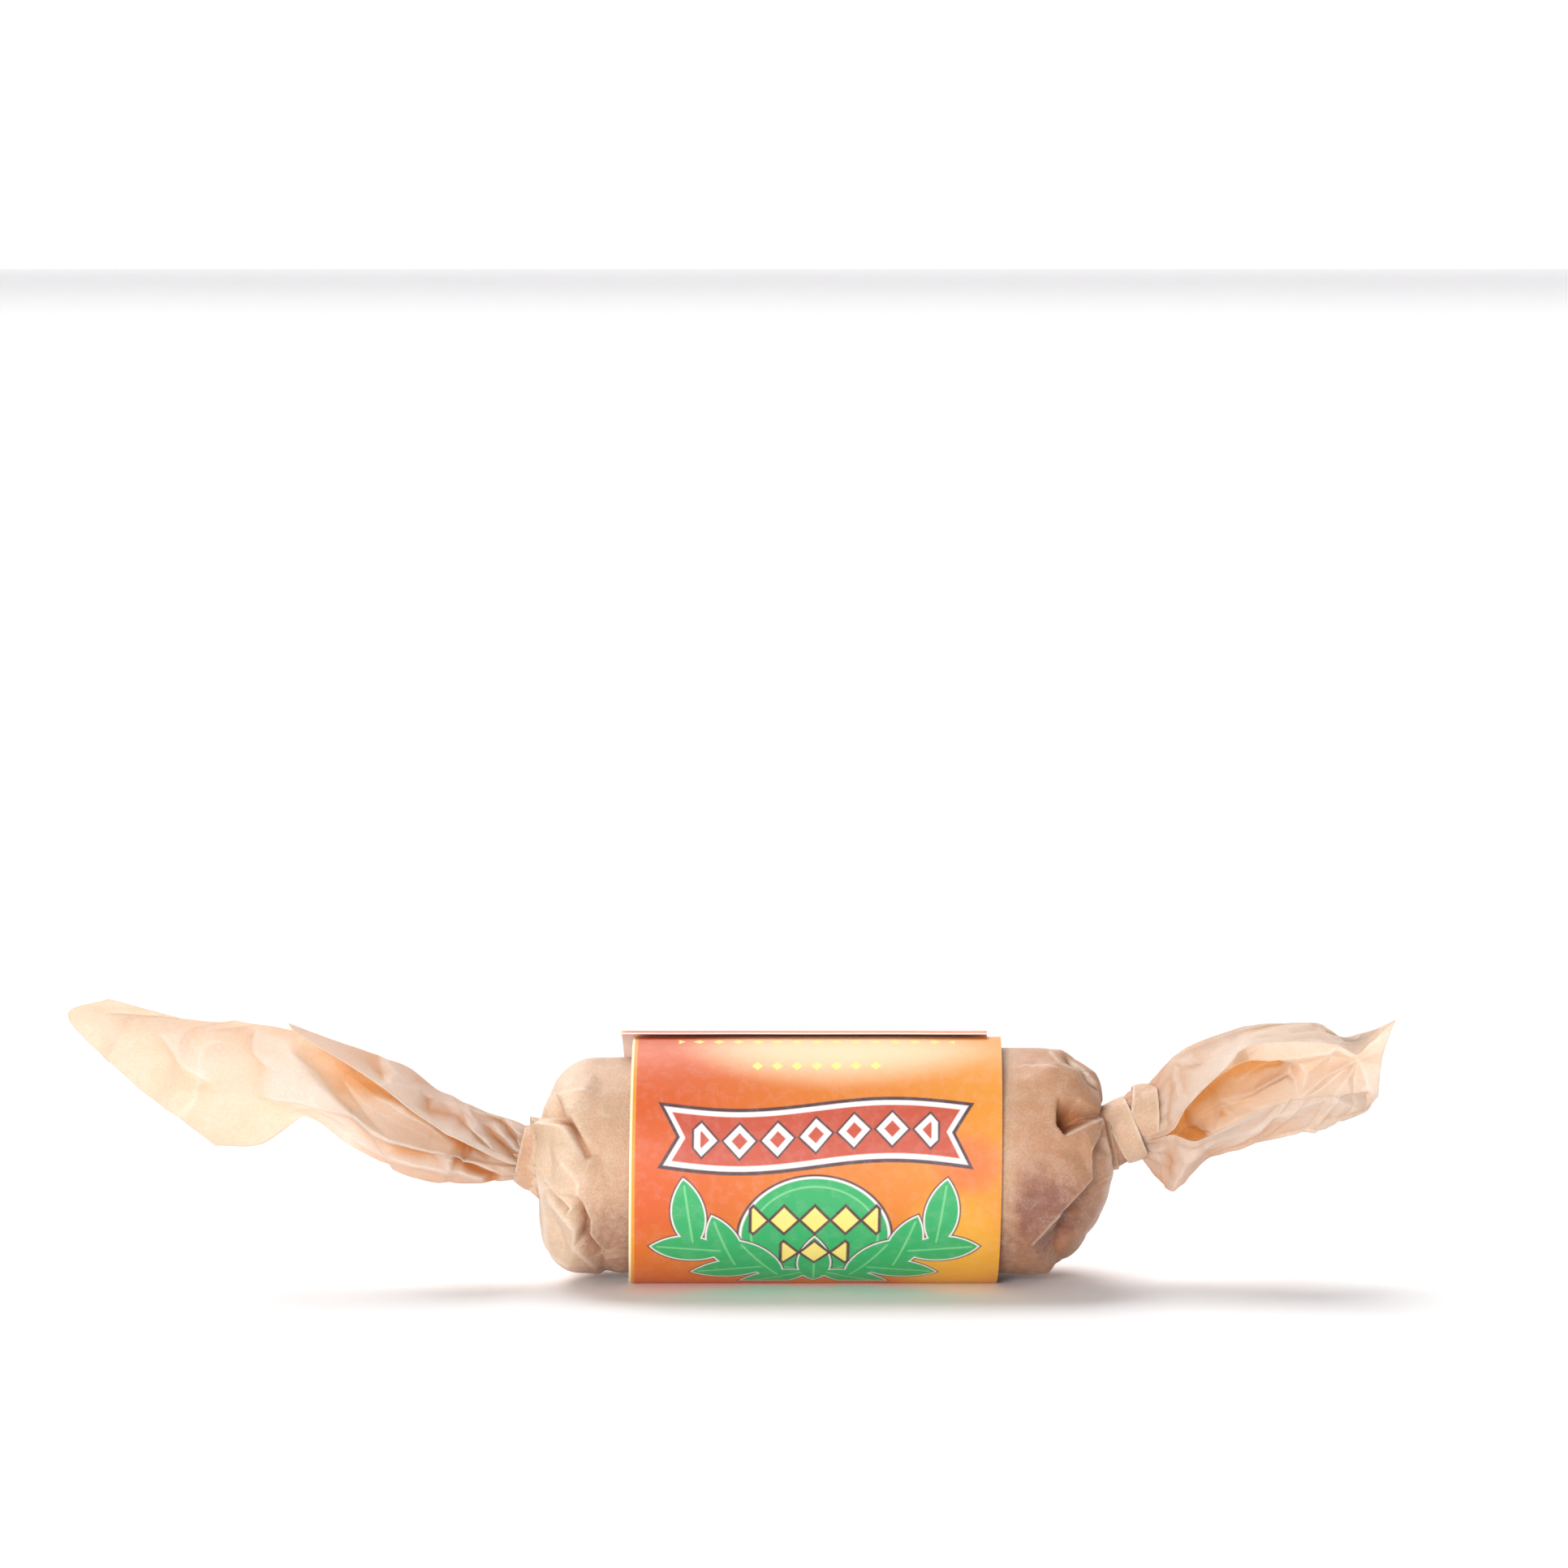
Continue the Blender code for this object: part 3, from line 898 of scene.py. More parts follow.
@dataclass(frozen=True)
class PlainPaper:
    """The unprinted white side and the cut edge of the label."""

    name: str = "label inner paper"
    colour: Colour = srgb(250, 228, 222)
    fibre_colour: Colour = srgb(236, 210, 202)
    fibre_pitch: float = 1500.0
    fibre_share: float = 0.4
    roughness: float = 0.75
    relief: float = 0.00005
    bump: float = 0.3

    def make(self, effects: SharedEffects) -> bpy.types.Material:
        """Make the material.

        Args:
            effects: The shared node groups.

        Returns:
            The material.
        """
        material, sheet, shader = new_material(self.name)
        place = sheet.node("ShaderNodeTexCoord", {}, "Object")
        fibre = sheet.group(effects.fibre, {"Place": place, "Pitch": self.fibre_pitch})
        colour = sheet.mix(fibre["Fibre"] * self.fibre_share, self.colour, self.fibre_colour)
        sheet.feed(shader.inputs["Base Color"], colour)
        shader.inputs["Roughness"].default_value = self.roughness
        sheet.bump(shader, self.bump, self.relief, fibre["Height"])
        return material


@dataclass(frozen=True)
class LabelPrint:
    """The printed side: a warm ground, a red ribbon with lozenges, a green garland and rows of yellow beads.

    Lengths are in millimetres from the middle of the label's front. A warm field is its place, its half
    sizes, its colour and how strongly it shows. A row of beads is its height, half its length, the distance
    between beads and half a bead's height. A leaf's splay is its turn from the stem. The lines round a shape
    are how far each reaches past its edge, with its colour. The ribbon's wave is its turn for each
    millimetre, in radians, and its height.
    """

    name: str = "label print"
    red_orange: Colour = srgb(212, 94, 38)
    orange: Colour = srgb(219, 125, 42)
    gold: Colour = srgb(231, 152, 50)
    # Painted sheen across the top of the label.
    painted_top_sheen: Colour = srgb(250, 212, 168)
    yellow: Colour = srgb(234, 174, 58)
    patch: Colour = srgb(234, 114, 58)
    brick: Colour = srgb(196, 84, 60)
    dark: Colour = srgb(84, 58, 62)
    white: Colour = srgb(250, 238, 240)
    green: Colour = srgb(52, 172, 104)
    green_rib: Colour = srgb(120, 206, 140)
    bead: Colour = srgb(250, 226, 128)
    margin: Colour = srgb(252, 238, 190)
    warm_fields: tuple = (
        (9.6, -7.5, 5.0, 7.5, yellow, 0.95),
        (10.4, 0.6, 3.0, 2.6, patch, 0.85),
        (-11.0, 9.0, 4.5, 6.0, red_orange, 0.7),
        # Painted sheen: a pale field across the top of the label.
        (1.5, 10.5, 12.0, 5.0, painted_top_sheen, 0.9),
        (-4.0, -7.0, 7.0, 5.0, orange, 0.6),
        (-10.5, -8.0, 5.0, 5.0, orange, 0.6),
    )
    half_width: float = 12.7
    margin_width: float = 0.16
    margin_gold: float = 2.4
    margin_soft: float = 0.06
    ribbon_height: float = 1.7
    ribbon_middle: float = 2.6
    ribbon_length: float = 10.2
    ribbon_slant: float = 0.55
    ribbon_notch: float = 1.3
    ribbon_wave: tuple[float, float] = (0.3, 0.45)
    ribbon_lines: tuple = ((0.62, dark), (0.36, white), (0.0, brick))
    lozenges: Point = (8.3, 2.6, 1.15)
    lozenge_lines: tuple = ((0.16, dark), (0.0, white))
    lozenge_inset: float = 0.42
    garland_leaves: int = 13
    garland_up: float = -9.0
    garland_curve: float = 0.062
    garland_half: float = 9.3
    garland_lowest: float = -10.2
    stem_half: float = 0.16
    leaf_row: float = 8.4
    leaf_splay: float = 0.62
    leaf_half: tuple[float, float] = (2.6, 1.1)
    leaf_middle: float = 1.6
    leaf_lines: tuple = ((0.2, dark), (0.1, white), (0.0, green))
    medallion_half: tuple[float, float] = (5.0, 4.2)
    medallion_up: float = -4.6
    medallion_lines: tuple = ((0.3, dark), (0.15, white), (0.0, green), (-0.5, green_rib), (-0.62, green))
    medallion_beads: tuple = ((-3.4, 4.3, 2.1, 0.95), (-6.2, 2.2, 2.1, 0.95))
    bead_lines: tuple = ((0.22, dark), (0.0, bead))
    bead_shape: tuple[float, float] = (0.8, 0.75)
    top_beads: tuple = ((11.4, 9.5, 1.35, 0.42), (8.1, 5.0, 1.35, 0.42))
    screen_pitch: float = 48.0
    screen_turn: tuple[float, float] = (0.956, 0.292)
    screen_colour: Colour = srgb(255, 214, 150)
    screen_share: float = 0.16
    fibre_pitch: float = 1700.0
    fibre_share: float = 0.14
    roughness: float = 0.36
    fibre_roughness: float = 0.2
    coat: float = 0.1
    coat_roughness: float = 0.3
    relief: float = 0.00006
    bump: float = 0.35
    soft: float = 0.09

    def _ground(self, sheet: NodeSheet, x: Wire, y: Wire) -> Wire:
        """Blend the warm fields of the ground.

        Args:
            sheet: The sheet of nodes.
            x: Place along the candy.
            y: Place up the label.

        Returns:
            The colour.
        """
        colour = sheet.mix(x.rise(-12.0, 3.0), self.red_orange, self.orange)
        colour = sheet.mix((x * 0.9 + y * 0.3).rise(0.0, 16.0), colour, self.gold)
        for across, up, wide, tall, field_colour, share in self.warm_fields:
            away = ((x - across) / wide).math("POWER", 2.0) + ((y - up) / tall).math("POWER", 2.0)
            colour = sheet.mix(away.rise(1.0, 0.0) * share, colour, field_colour)
        return colour

    def _outlined(self, sheet: NodeSheet, below: Wire, distance: Wire, bands: tuple) -> Wire:
        """Lay a shape with outlines over what is below it.

        Args:
            sheet: The sheet of nodes.
            below: The colour below.
            distance: Distance to the shape's edge.
            bands: How far each band reaches past the edge, with its colour, widest first.

        Returns:
            The colour.
        """
        for reach, colour in bands:
            below = sheet.mix((distance - reach).inside(self.soft), below, colour)
        return below

    def _garland(self, sheet: NodeSheet, effects: SharedEffects, x: Wire, y: Wire) -> tuple[Wire, Wire]:
        """Measure the distance to a hanging garland of plain oval leaves.

        Args:
            sheet: The sheet of nodes.
            effects: The shared node groups.
            x: Place along the candy.
            y: Place up the label.

        Returns:
            Distance to the leaves and to their ribs.
        """
        stem = (y - (x * x * self.garland_curve + self.garland_up)).size() - self.stem_half
        distance = stem.math("MAXIMUM", x.size() - self.garland_half)
        low_edge = y * -1.0 + self.garland_lowest
        rib = distance + 50.0
        middle = (self.garland_leaves - 1) / 2
        for number in range(self.garland_leaves):
            share = (number - middle) / middle
            along = self.leaf_row * share
            up = self.garland_curve * along**2 + self.garland_up
            slope = math.atan(2 * self.garland_curve * along)
            outward = slope if share > 0 else slope + math.pi
            side = 1.0 if number % 2 == 0 else -1.0
            if share < 0:
                side = -side
            turn = math.pi / 2 if share == 0 else outward + self.leaf_splay * side
            place = (along + self.leaf_middle * math.cos(turn), up + self.leaf_middle * math.sin(turn))
            leaf = sheet.group(
                effects.plain_leaf,
                {
                    "X": x,
                    "Y": y,
                    "Middle X": place[0],
                    "Middle Y": place[1],
                    "Turn": turn,
                    "Half Length": self.leaf_half[0],
                    "Half Width": self.leaf_half[1],
                },
            )
            distance = distance.math("MINIMUM", leaf["Distance"])
            rib = rib.math("MINIMUM", leaf["Rib"])
        return distance.math("MAXIMUM", low_edge), rib.math("MAXIMUM", low_edge)

    def _beads(self, x: Wire, y: Wire, up: float, half_row: float, pitch: float, radius: float) -> Wire:
        """Measure the distance to a row of lozenge beads.

        Args:
            x: Place along the candy.
            y: Place up the label.
            up: Height of the row.
            half_row: Half the row's length.
            pitch: Distance between beads.
            radius: Half a bead's height.

        Returns:
            The distance.
        """
        cell = x - (x / pitch).math("ROUND") * pitch
        wide, tall = self.bead_shape
        shape = cell.size() * wide + (y - up).size() * tall - radius * tall
        return shape.math("MAXIMUM", x.size() - half_row)

    def make(self, effects: SharedEffects) -> bpy.types.Material:
        """Make the material.

        Args:
            effects: The shared node groups.

        Returns:
            The material.
        """
        material, sheet, shader = new_material(self.name)
        uv = sheet.tree.nodes.new("ShaderNodeUVMap")
        uv.uv_map = Label.PRINT_MAP
        parts = sheet.tree.nodes.new("ShaderNodeSeparateXYZ")
        sheet.tree.links.new(uv.outputs[0], parts.inputs[0])
        x = (Wire(sheet, parts.outputs[0]) - 0.5) * Label.MAP_MM
        y = (Wire(sheet, parts.outputs[1]) - 0.5) * Label.MAP_MM
        colour = self._ground(sheet, x, y)
        wide, tall = self.medallion_half
        across, up = x / wide, (y - self.medallion_up) / tall
        medallion = ((across * across + up * up).math("SQRT") - 1.0) * tall
        colour = self._outlined(sheet, colour, medallion, self.medallion_lines)
        leaves, ribs = self._garland(sheet, effects, x, y)
        colour = self._outlined(sheet, colour, leaves, self.leaf_lines)
        colour = sheet.mix(ribs.inside(self.soft), colour, self.green_rib)
        turn, height = self.ribbon_wave
        wave = (x * turn).math("SINE") * height
        up = (y - self.ribbon_middle - wave).size()
        ends = x.size() - (up * self.ribbon_slant + self.ribbon_length - self.ribbon_notch)
        ribbon = ends.math("MAXIMUM", up - self.ribbon_height)
        colour = self._outlined(sheet, colour, ribbon, self.ribbon_lines)
        lozenge = self._beads(x, y - wave, self.ribbon_middle, *self.lozenges)
        colour = self._outlined(sheet, colour, lozenge, self.lozenge_lines)
        colour = self._outlined(sheet, colour, lozenge + self.lozenge_inset, self.ribbon_lines[-1:])
        for row in self.medallion_beads:
            beads = self._beads(x, y, *row)
            colour = self._outlined(sheet, colour, beads, self.bead_lines)
        for row in self.top_beads:
            colour = self._outlined(sheet, colour, self._beads(x, y, *row), self.bead_lines[-1:])
        cosine, sine = self.screen_turn
        one = ((x * cosine + y * sine) * self.screen_pitch).math("SINE")
        two = ((y * cosine - x * sine) * self.screen_pitch).math("SINE")
        screen = (one * two * 0.5 + 0.5) * self.screen_share
        colour = sheet.mix(screen, colour, self.screen_colour, "MULTIPLY")
        from_left = x + self.half_width
        edges = ((self.margin_gold * self.margin_width, self.gold), (self.margin_width, self.margin))
        for reach, edge_colour in edges:
            colour = sheet.mix((from_left - reach).inside(self.margin_soft), colour, edge_colour)
        place = sheet.node("ShaderNodeTexCoord", {}, "Object")
        fibre = sheet.group(effects.fibre, {"Place": place, "Pitch": self.fibre_pitch})
        colour = sheet.mix(fibre["Fibre"] * self.fibre_share, colour, self.white)
        sheet.feed(shader.inputs["Base Color"], colour)
        sheet.feed(shader.inputs["Roughness"], fibre["Height"] * self.fibre_roughness + self.roughness)
        shader.inputs["Coat Weight"].default_value = self.coat
        shader.inputs["Coat Roughness"].default_value = self.coat_roughness
        sheet.bump(shader, self.bump, self.relief, fibre["Height"] + screen)
        return material


class Kind(Enum):
    """What a made object is to the frame."""

    WRAPPER = ("wrapper", "waxed_paper")
    LABEL = ("label", "printed_paper")


def make_piece(
    name: str,
    points: np.ndarray,
    faces: list[tuple[int, ...]],
    materials: list[bpy.types.Material],
    kind: Kind,
    values: dict[str, np.ndarray],
) -> bpy.types.Object:
    """Make a piece that rides on the candy and stands for one of its solids.

    Args:
        name: The piece's name.
        points: Its points in millimetres.
        faces: Its faces.
        materials: Its materials.
        kind: The solid that it stands for, whose part from model.glb it hides.
        values: Numbers to keep on its points, by name.

    Returns:
        The object.
    """
    mesh = bpy.data.meshes.new(name)
    mesh.from_pydata((points * MM).tolist(), [], faces)
    for key, numbers in values.items():
        layer = mesh.attributes.new(key, "FLOAT", "POINT")
        layer.data.foreach_set("value", np.asarray(numbers, np.float32))
    mesh.shade_smooth()
    for material in materials:
        mesh.materials.append(material)
    piece = bpy.data.objects.new(name, mesh)
    bpy.context.scene.collection.objects.link(piece)
    node, slot = kind.value
    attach(piece, "root")
    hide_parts(node)
    LOG.info("%s: %d points, %d faces", name, len(points), len(faces))
    return piece


def thin_piece(
    name: str,
    centre: np.ndarray,
    faces: list[tuple[int, ...]],
    thickness: float,
    values: dict[str, np.ndarray],
    material: bpy.types.Material,
) -> bpy.types.Object:
    """Give a sheet of paper two sides and a cut edge.

    Args:
        name: The piece's name.
        centre: Points in the middle of the sheet.
        faces: Its faces.
        thickness: How thick it is.
        values: Numbers to keep on its points.
        material: Its finish.

    Returns:
        The object.
    """
    used = np.unique(np.concatenate([np.asarray(face) for face in faces]))
    new = np.full(len(centre), -1)
    new[used] = np.arange(len(used))
    mesh = bpy.data.meshes.new("sheet")
    mesh.from_pydata(centre[used].tolist(), [], [tuple(int(new[index]) for index in face) for face in faces])
    shape = bmesh.new()
    shape.from_mesh(mesh)
    bmesh.ops.recalc_face_normals(shape, faces=shape.faces[:])
    shape.normal_update()
    out = np.array([vert.normal[:] for vert in shape.verts])
    turned = [tuple(vert.index for vert in face.verts) for face in shape.faces]
    rim = []
    for edge in shape.edges:
        if len(edge.link_loops) == 1:
            loop = edge.link_loops[0]
            rim.append((loop.vert.index, loop.link_loop_next.vert.index))
    shape.free()
    bpy.data.meshes.remove(mesh)
    count = len(used)
    half = thickness / 2
    both = np.concatenate([centre[used] + out * half, centre[used] - out * half])
    solid = turned + [tuple(index + count for index in reversed(face)) for face in turned]
    solid += [(two, one, one + count, two + count) for one, two in rim]
    kept = {key: np.tile(np.asarray(numbers).reshape(-1)[used], 2) for key, numbers in values.items()}
    return make_piece(name, both, solid, [material], Kind.WRAPPER, kept)


@dataclass(frozen=True)
class Fold:
    """A fold pressed into an end of the body.

    Attributes:
        path: Place along the candy in millimetres and degrees up from the front, point by point. The side
            to the left of someone who walks it on the paper stays low.
        depth: How deep the low side is, in millimetres.
        lip: How high the other side stands.
        width: How far the fold reaches.
        edge: Width of its edge.
        steps: How many places its path is split into.
        taper: Share of its length over which it fades at each end.
        lip_reach: How many times as far as the fold the other side's swell reaches.
        lip_depth: Share of the depth that the other side has.
        deepest: The greatest depth that counts for the painted shade.
        lip_shade: Share of that painted shade that the other side is spared.
        worn_half: Half width of the worn edge, and how far from the path it goes.
    """

    path: tuple[tuple[float, float], ...]
    depth: float
    lip: float
    width: float
    edge: float = 0.2
    steps: int = 80
    taper: float = 0.3
    lip_reach: float = 1.6
    lip_depth: float = 0.35
    deepest: float = 1.3
    lip_shade: float = 0.75
    worn_half: tuple[float, float] = (0.1, 0.6)


LEFT_END = Facets(
    {
        "line under the top": ((-17.3, 13.2, 0.1), (-15.9, 13.1, 0.2), (-14.5, 13.3, 0.0)),
        "above the hollow": (
            (-17.9, 12.9, 0.0), (-17.3, 12.4, 0.2), (-16.8, 11.3, 0.3), (-16.1, 10.0, 0.2),
            (-15.5, 8.7, 0.1),
        ),
        "hollow": (
            (-18.6, 11.2, 0.2), (-17.9, 11.2, -0.8), (-17.1, 11.0, -0.8), (-16.4, 9.9, -0.5),
            (-15.7, 8.5, -0.3),
        ),
        "edge under the hollow": (
            (-19.2, 10.4, 0.9), (-18.6, 10.8, 0.5), (-17.4, 10.6, 0.2), (-16.7, 9.5, 0.2),
            (-16.0, 8.4, 0.1),
        ),
        "short ridge": ((-15.4, 8.5, 0.2), (-14.9, 8.4, 0.1)),
        "rim": (
            (-18.8, 9.9, 0.4), (-18.7, 7.9, 0.4), (-18.5, 5.6, 0.3), (-17.9, 2.0, 0.4), (-16.9, 1.2, 0.3),
        ),
        "behind the rim": ((-18.4, 9.5, 0.0), (-18.3, 7.9, -0.1), (-18.2, 7.0, 0.0)),
        "top of the pleat": ((-18.4, 6.9, 0.2), (-17.7, 6.1, 0.3), (-16.8, 5.0, 0.2)),
        "pleat": ((-18.4, 6.5, -0.2), (-17.9, 5.7, -0.5), (-17.2, 5.0, -0.3)),
        "foot of the pleat": ((-18.5, 6.3, 0.1), (-17.9, 5.3, 0.3), (-17.1, 4.5, 0.4)),
        "bulge": ((-17.3, 8.1, 0.3), (-16.3, 6.7, 0.3), (-16.4, 5.9, 0.2)),
        "low left face": ((-17.6, 3.4, 0.0), (-17.2, 2.2, 0.0)),
        "valley": (
            (-16.8, 5.6, 0.0), (-16.2, 5.0, -0.4), (-15.8, 4.2, -0.7), (-15.9, 3.1, -0.6),
            (-14.8, 1.8, -0.4),
        ),
        "right of the valley": ((-15.9, 5.2, 0.2), (-15.5, 4.3, 0.3), (-15.5, 3.3, 0.3), (-14.5, 2.0, 0.2)),
        "left of the valley": ((-17.1, 4.5, 0.4), (-16.5, 3.5, 0.3), (-16.6, 2.4, 0.3), (-15.4, 0.9, 0.1)),
        "front": ((-13.4, 9.1, 0.0), (-14.2, 6.4, 0.1), (-13.4, 2.4, 0.0)),
    }
)
RIGHT_END = Facets(
    {
        "top corner": ((17.0, 16.1, 0.2), (18.0, 15.2, 0.1), (18.9, 14.1, 0.3), (19.6, 12.0, 0.1)),
        "facet under the top": ((16.2, 15.7, 0.1), (16.8, 14.6, 0.3), (18.0, 14.2, 0.4), (18.7, 13.6, 0.2)),
        "rim of the pit": ((19.7, 11.4, 0.0), (19.1, 12.0, 0.1), (18.2, 12.6, 0.1), (16.8, 12.7, 0.1)),
        "side of the pit": ((16.7, 11.8, 0.1), (16.7, 10.8, 0.1), (17.2, 10.0, 0.2)),
        "roof of the pit": ((17.2, 11.8, -1.0), (18.2, 11.7, -0.9), (19.0, 11.4, -0.6)),
        "pit": ((17.0, 11.0, -1.9), (17.3, 10.5, -2.3), (17.8, 10.8, -1.9), (18.8, 11.1, -1.0)),
        "lip": ((17.3, 10.0, 0.2), (18.2, 10.5, 0.3), (19.0, 10.9, 0.4), (19.7, 11.2, 0.2)),
        "lit facet": ((15.2, 9.9, 0.1), (16.4, 9.0, 0.1), (18.0, 9.0, 0.2)),
        "big fold": (
            (19.5, 10.9, 0.3), (19.1, 9.9, 0.4), (18.6, 9.0, 0.5), (18.6, 7.1, 0.5), (16.9, 4.8, 0.4),
            (15.1, 2.7, 0.3),
        ),
        "behind the fold": (
            (19.4, 9.8, -0.3), (18.9, 8.8, -0.5), (18.9, 6.9, -0.6), (17.3, 4.6, -0.7), (16.5, 2.5, -0.5),
        ),
        "valley": ((18.8, 5.6, -0.6), (18.0, 4.5, -0.9), (17.6, 2.9, -0.8), (17.0, 1.4, -0.4)),
        "before the far pleat": ((19.0, 8.2, -0.4), (19.1, 6.9, -0.5), (18.9, 6.0, -0.5)),
        "far pleat": (
            (19.6, 9.8, 0.4), (19.6, 8.6, 0.6), (19.6, 7.0, 0.6), (19.5, 5.6, 0.5), (19.3, 4.4, 0.3),
            (18.9, 3.0, 0.0),
        ),
        "lower facet": ((13.4, 2.9, 0.0), (14.6, 1.9, 0.2), (16.0, 0.9, 0.1)),
        "front": (
            (13.4, 13.4, 0.0), (14.1, 11.8, 0.0), (13.4, 9.2, 0.0), (15.2, 5.7, 0.1), (13.4, 5.5, 0.0),
        ),
    }
)


@dataclass
class Body:
    """The rolled body of the candy with its gathered ends and its twisted necks. Lengths are in millimetres.

    A neck's stations are place, height, radius and tilt in degrees. Each ramp is where it starts and how far
    it takes to rise. Where the second number is negative, it rises the other way.
    """

    left_radius: float = 7.45
    right_radius: float = 7.81
    left_middle: float = 7.95
    right_middle: float = 8.3
    left_shoulder: float = -14.4
    right_shoulder: float = 14.4
    left_depth: float = 4.3
    right_depth: float = 5.3
    left_power: float = 3.0
    right_power: float = 2.8
    left_neck_height: float = 8.95
    right_neck_height: float = 9.75
    mouth_radius: float = 2.1
    around: int = 320
    end_rings: int = 64
    side_rings: int = 30
    neck_step: int = 7
    lowest: float = 0.15
    under_label: float = 13.2
    neck_size: float = 0.95
    ridges: float = 0.09
    ridge_count: float = 3.0
    ridge_twist: float = 0.7
    ridge_power: float = 0.7
    fine_ridges: float = 0.035
    fine_count: float = 7.0
    fine_twist: float = 1.5
    fine_sway: float = 0.8
    end_samples: int = 800
    end_face: float = 0.3
    creases: Creases = Creases(11, 60, 0.16, (0.5, 1.6), (3.0, 9.0), 0.9)
    crease_radius: float = 7.6
    crease_middle: float = 8.1
    crease_start: float = 13.0
    crease_right: float = 2.0
    crease_inward: float = 0.4
    bumps: tuple = ((SoftNoise(5, 2.6), 0.1), (SoftNoise(6, 1.1), 0.035))
    shift_range: tuple[float, float] = (-2.6, 1.0)
    under_label_rise: float = 0.05
    ends_ramp: tuple[float, float] = (13.2, 1.2)
    folds_ramp: tuple[float, float] = (2.3, 1.8)
    creases_ramp: tuple[float, float] = (1.4, 1.5)
    facets_ramp: tuple[float, float] = (2.2, 0.6)
    front_ramp: tuple[float, float] = (0.35, -0.5)
    # Caramel showing through, which also paints shade: a patch low on the right end, darker towards the
    # bottom, and darker on the right end.
    patch: tuple[float, float] = (15.6, 5.6)
    patch_size: float = 3.0
    low_ramp: tuple[float, float] = (9.5, -5.0)
    low_reach_ramp: tuple[float, float] = (17.6, -2.5)
    low_caramel_and_shade: float = 0.7
    right_ramp: tuple[float, float] = (13.2, 1.0)
    right_low_ramp: tuple[float, float] = (14.0, -7.0)
    right_caramel_and_shade: float = 0.4
    # Painted shade on the right end and painted light on the left end, as the light falls from the left.
    right_painted_shade: float = 0.42
    left_ramp: tuple[float, float] = (-14.8, -2.5)
    left_painted_light: float = 0.35
    neck_ramp: tuple[float, float] = (5.0, -4.0)
    neck_layers: float = 0.25
    plain_layers: float = 0.6
    # Share of the painted shade in folds and hollows that shows.
    fold_shade_share: float = 0.8
    worn_tops: float = 0.5
    left_neck: tuple = (
        (-19.2, 8.3, 2.5, 0.0),
        (-19.8, 8.4, 2.0, 0.0),
        (-20.4, 8.8, 1.3, -4.0),
        (-21.2, 9.0, 0.8, -8.0),
        (-22.2, 9.2, 0.5, -12.0),
        (-23.4, 9.5, 0.3, -14.0),
    )
    right_neck: tuple = (
        (20.1, 9.75, 2.2, 6.0),
        (20.8, 10.1, 2.0, 15.0),
        (21.5, 10.5, 1.8, 25.0),
        (22.5, 11.5, 1.7, 20.0),
        (23.2, 12.0, 1.4, 24.0),
        (24.0, 12.3, 0.9, 30.0),
    )
    facets: tuple[Facets, ...] = (LEFT_END, RIGHT_END)
    folds: tuple[Fold, ...] = (
        Fold(((-18.9, 95), (-17.8, 92), (-15.6, 98)), 0.45, 0.1, 0.9),
        Fold(((-19.0, 150), (-17.9, 140), (-15.0, 128)), 0.7, 0.2, 0.9),
        Fold(((-19.0, 185), (-17.8, 178), (-15.8, 160)), 0.6, 0.2, 0.8),
        Fold(((-19.0, 225), (-17.9, 212), (-14.6, 200)), 0.7, 0.2, 0.9),
        Fold(((-19.0, 270), (-17.9, 250), (-15.4, 240)), 0.6, 0.2, 0.8),
        Fold(((19.4, 75), (18.3, 70), (17.0, 82)), 0.4, 0.15, 0.9),
        Fold(((19.4, 125), (18.3, 115), (16.2, 108)), 0.6, 0.2, 0.9),
        Fold(((19.4, 165), (18.4, 152), (15.6, 140)), 0.8, 0.2, 1.0),
        Fold(((19.4, 205), (18.3, 190), (16.0, 182)), 0.7, 0.2, 0.9),
        Fold(((19.4, 250), (18.3, 238), (15.4, 222)), 0.7, 0.2, 0.9),
        Fold(((19.4, 290), (18.3, 275), (16.4, 266)), 0.6, 0.2, 0.8),
    )

    def profile(self, place: float) -> tuple[float, float]:
        """Find the plain body's radius and the height of its middle.

        Args:
            place: Place along the candy.

        Returns:
            Radius and height.
        """
        along = np.clip((place - self.left_shoulder) / (self.right_shoulder - self.left_shoulder), 0.0, 1.0)
        radius = self.left_radius + (self.right_radius - self.left_radius) * along
        height = self.left_middle + (self.right_middle - self.left_middle) * along
        left = np.clip((self.left_shoulder - place) / self.left_depth, 0.0, 1.0)
        right = np.clip((place - self.right_shoulder) / self.right_depth, 0.0, 1.0)
        share = (1 - left**self.left_power) ** (1 / self.left_power)
        share *= (1 - right**self.right_power) ** (1 / self.right_power)
        neck = self.left_neck_height if place < 0 else self.right_neck_height
        rise = 1 - smooth_step(np.array((radius * share - self.mouth_radius) / (radius - self.mouth_radius)))
        return float(radius * share), float(height + (neck - height) * rise)

    def ring(self, place: float, height: float, radius: float, tilt: float, angles: np.ndarray) -> np.ndarray:
        """Lay a ring of points round the candy.

        Args:
            place: Place along the candy.
            height: Height of the ring's middle.
            radius: Its radius.
            tilt: How far it leans, in degrees.
            angles: Angles up from the front.

        Returns:
            The points.
        """
        lean = math.radians(tilt)
        up = radius * np.sin(angles)
        places = (place - up * math.sin(lean), -radius * np.cos(angles), height + up * math.cos(lean))
        return np.stack(places, axis=1)

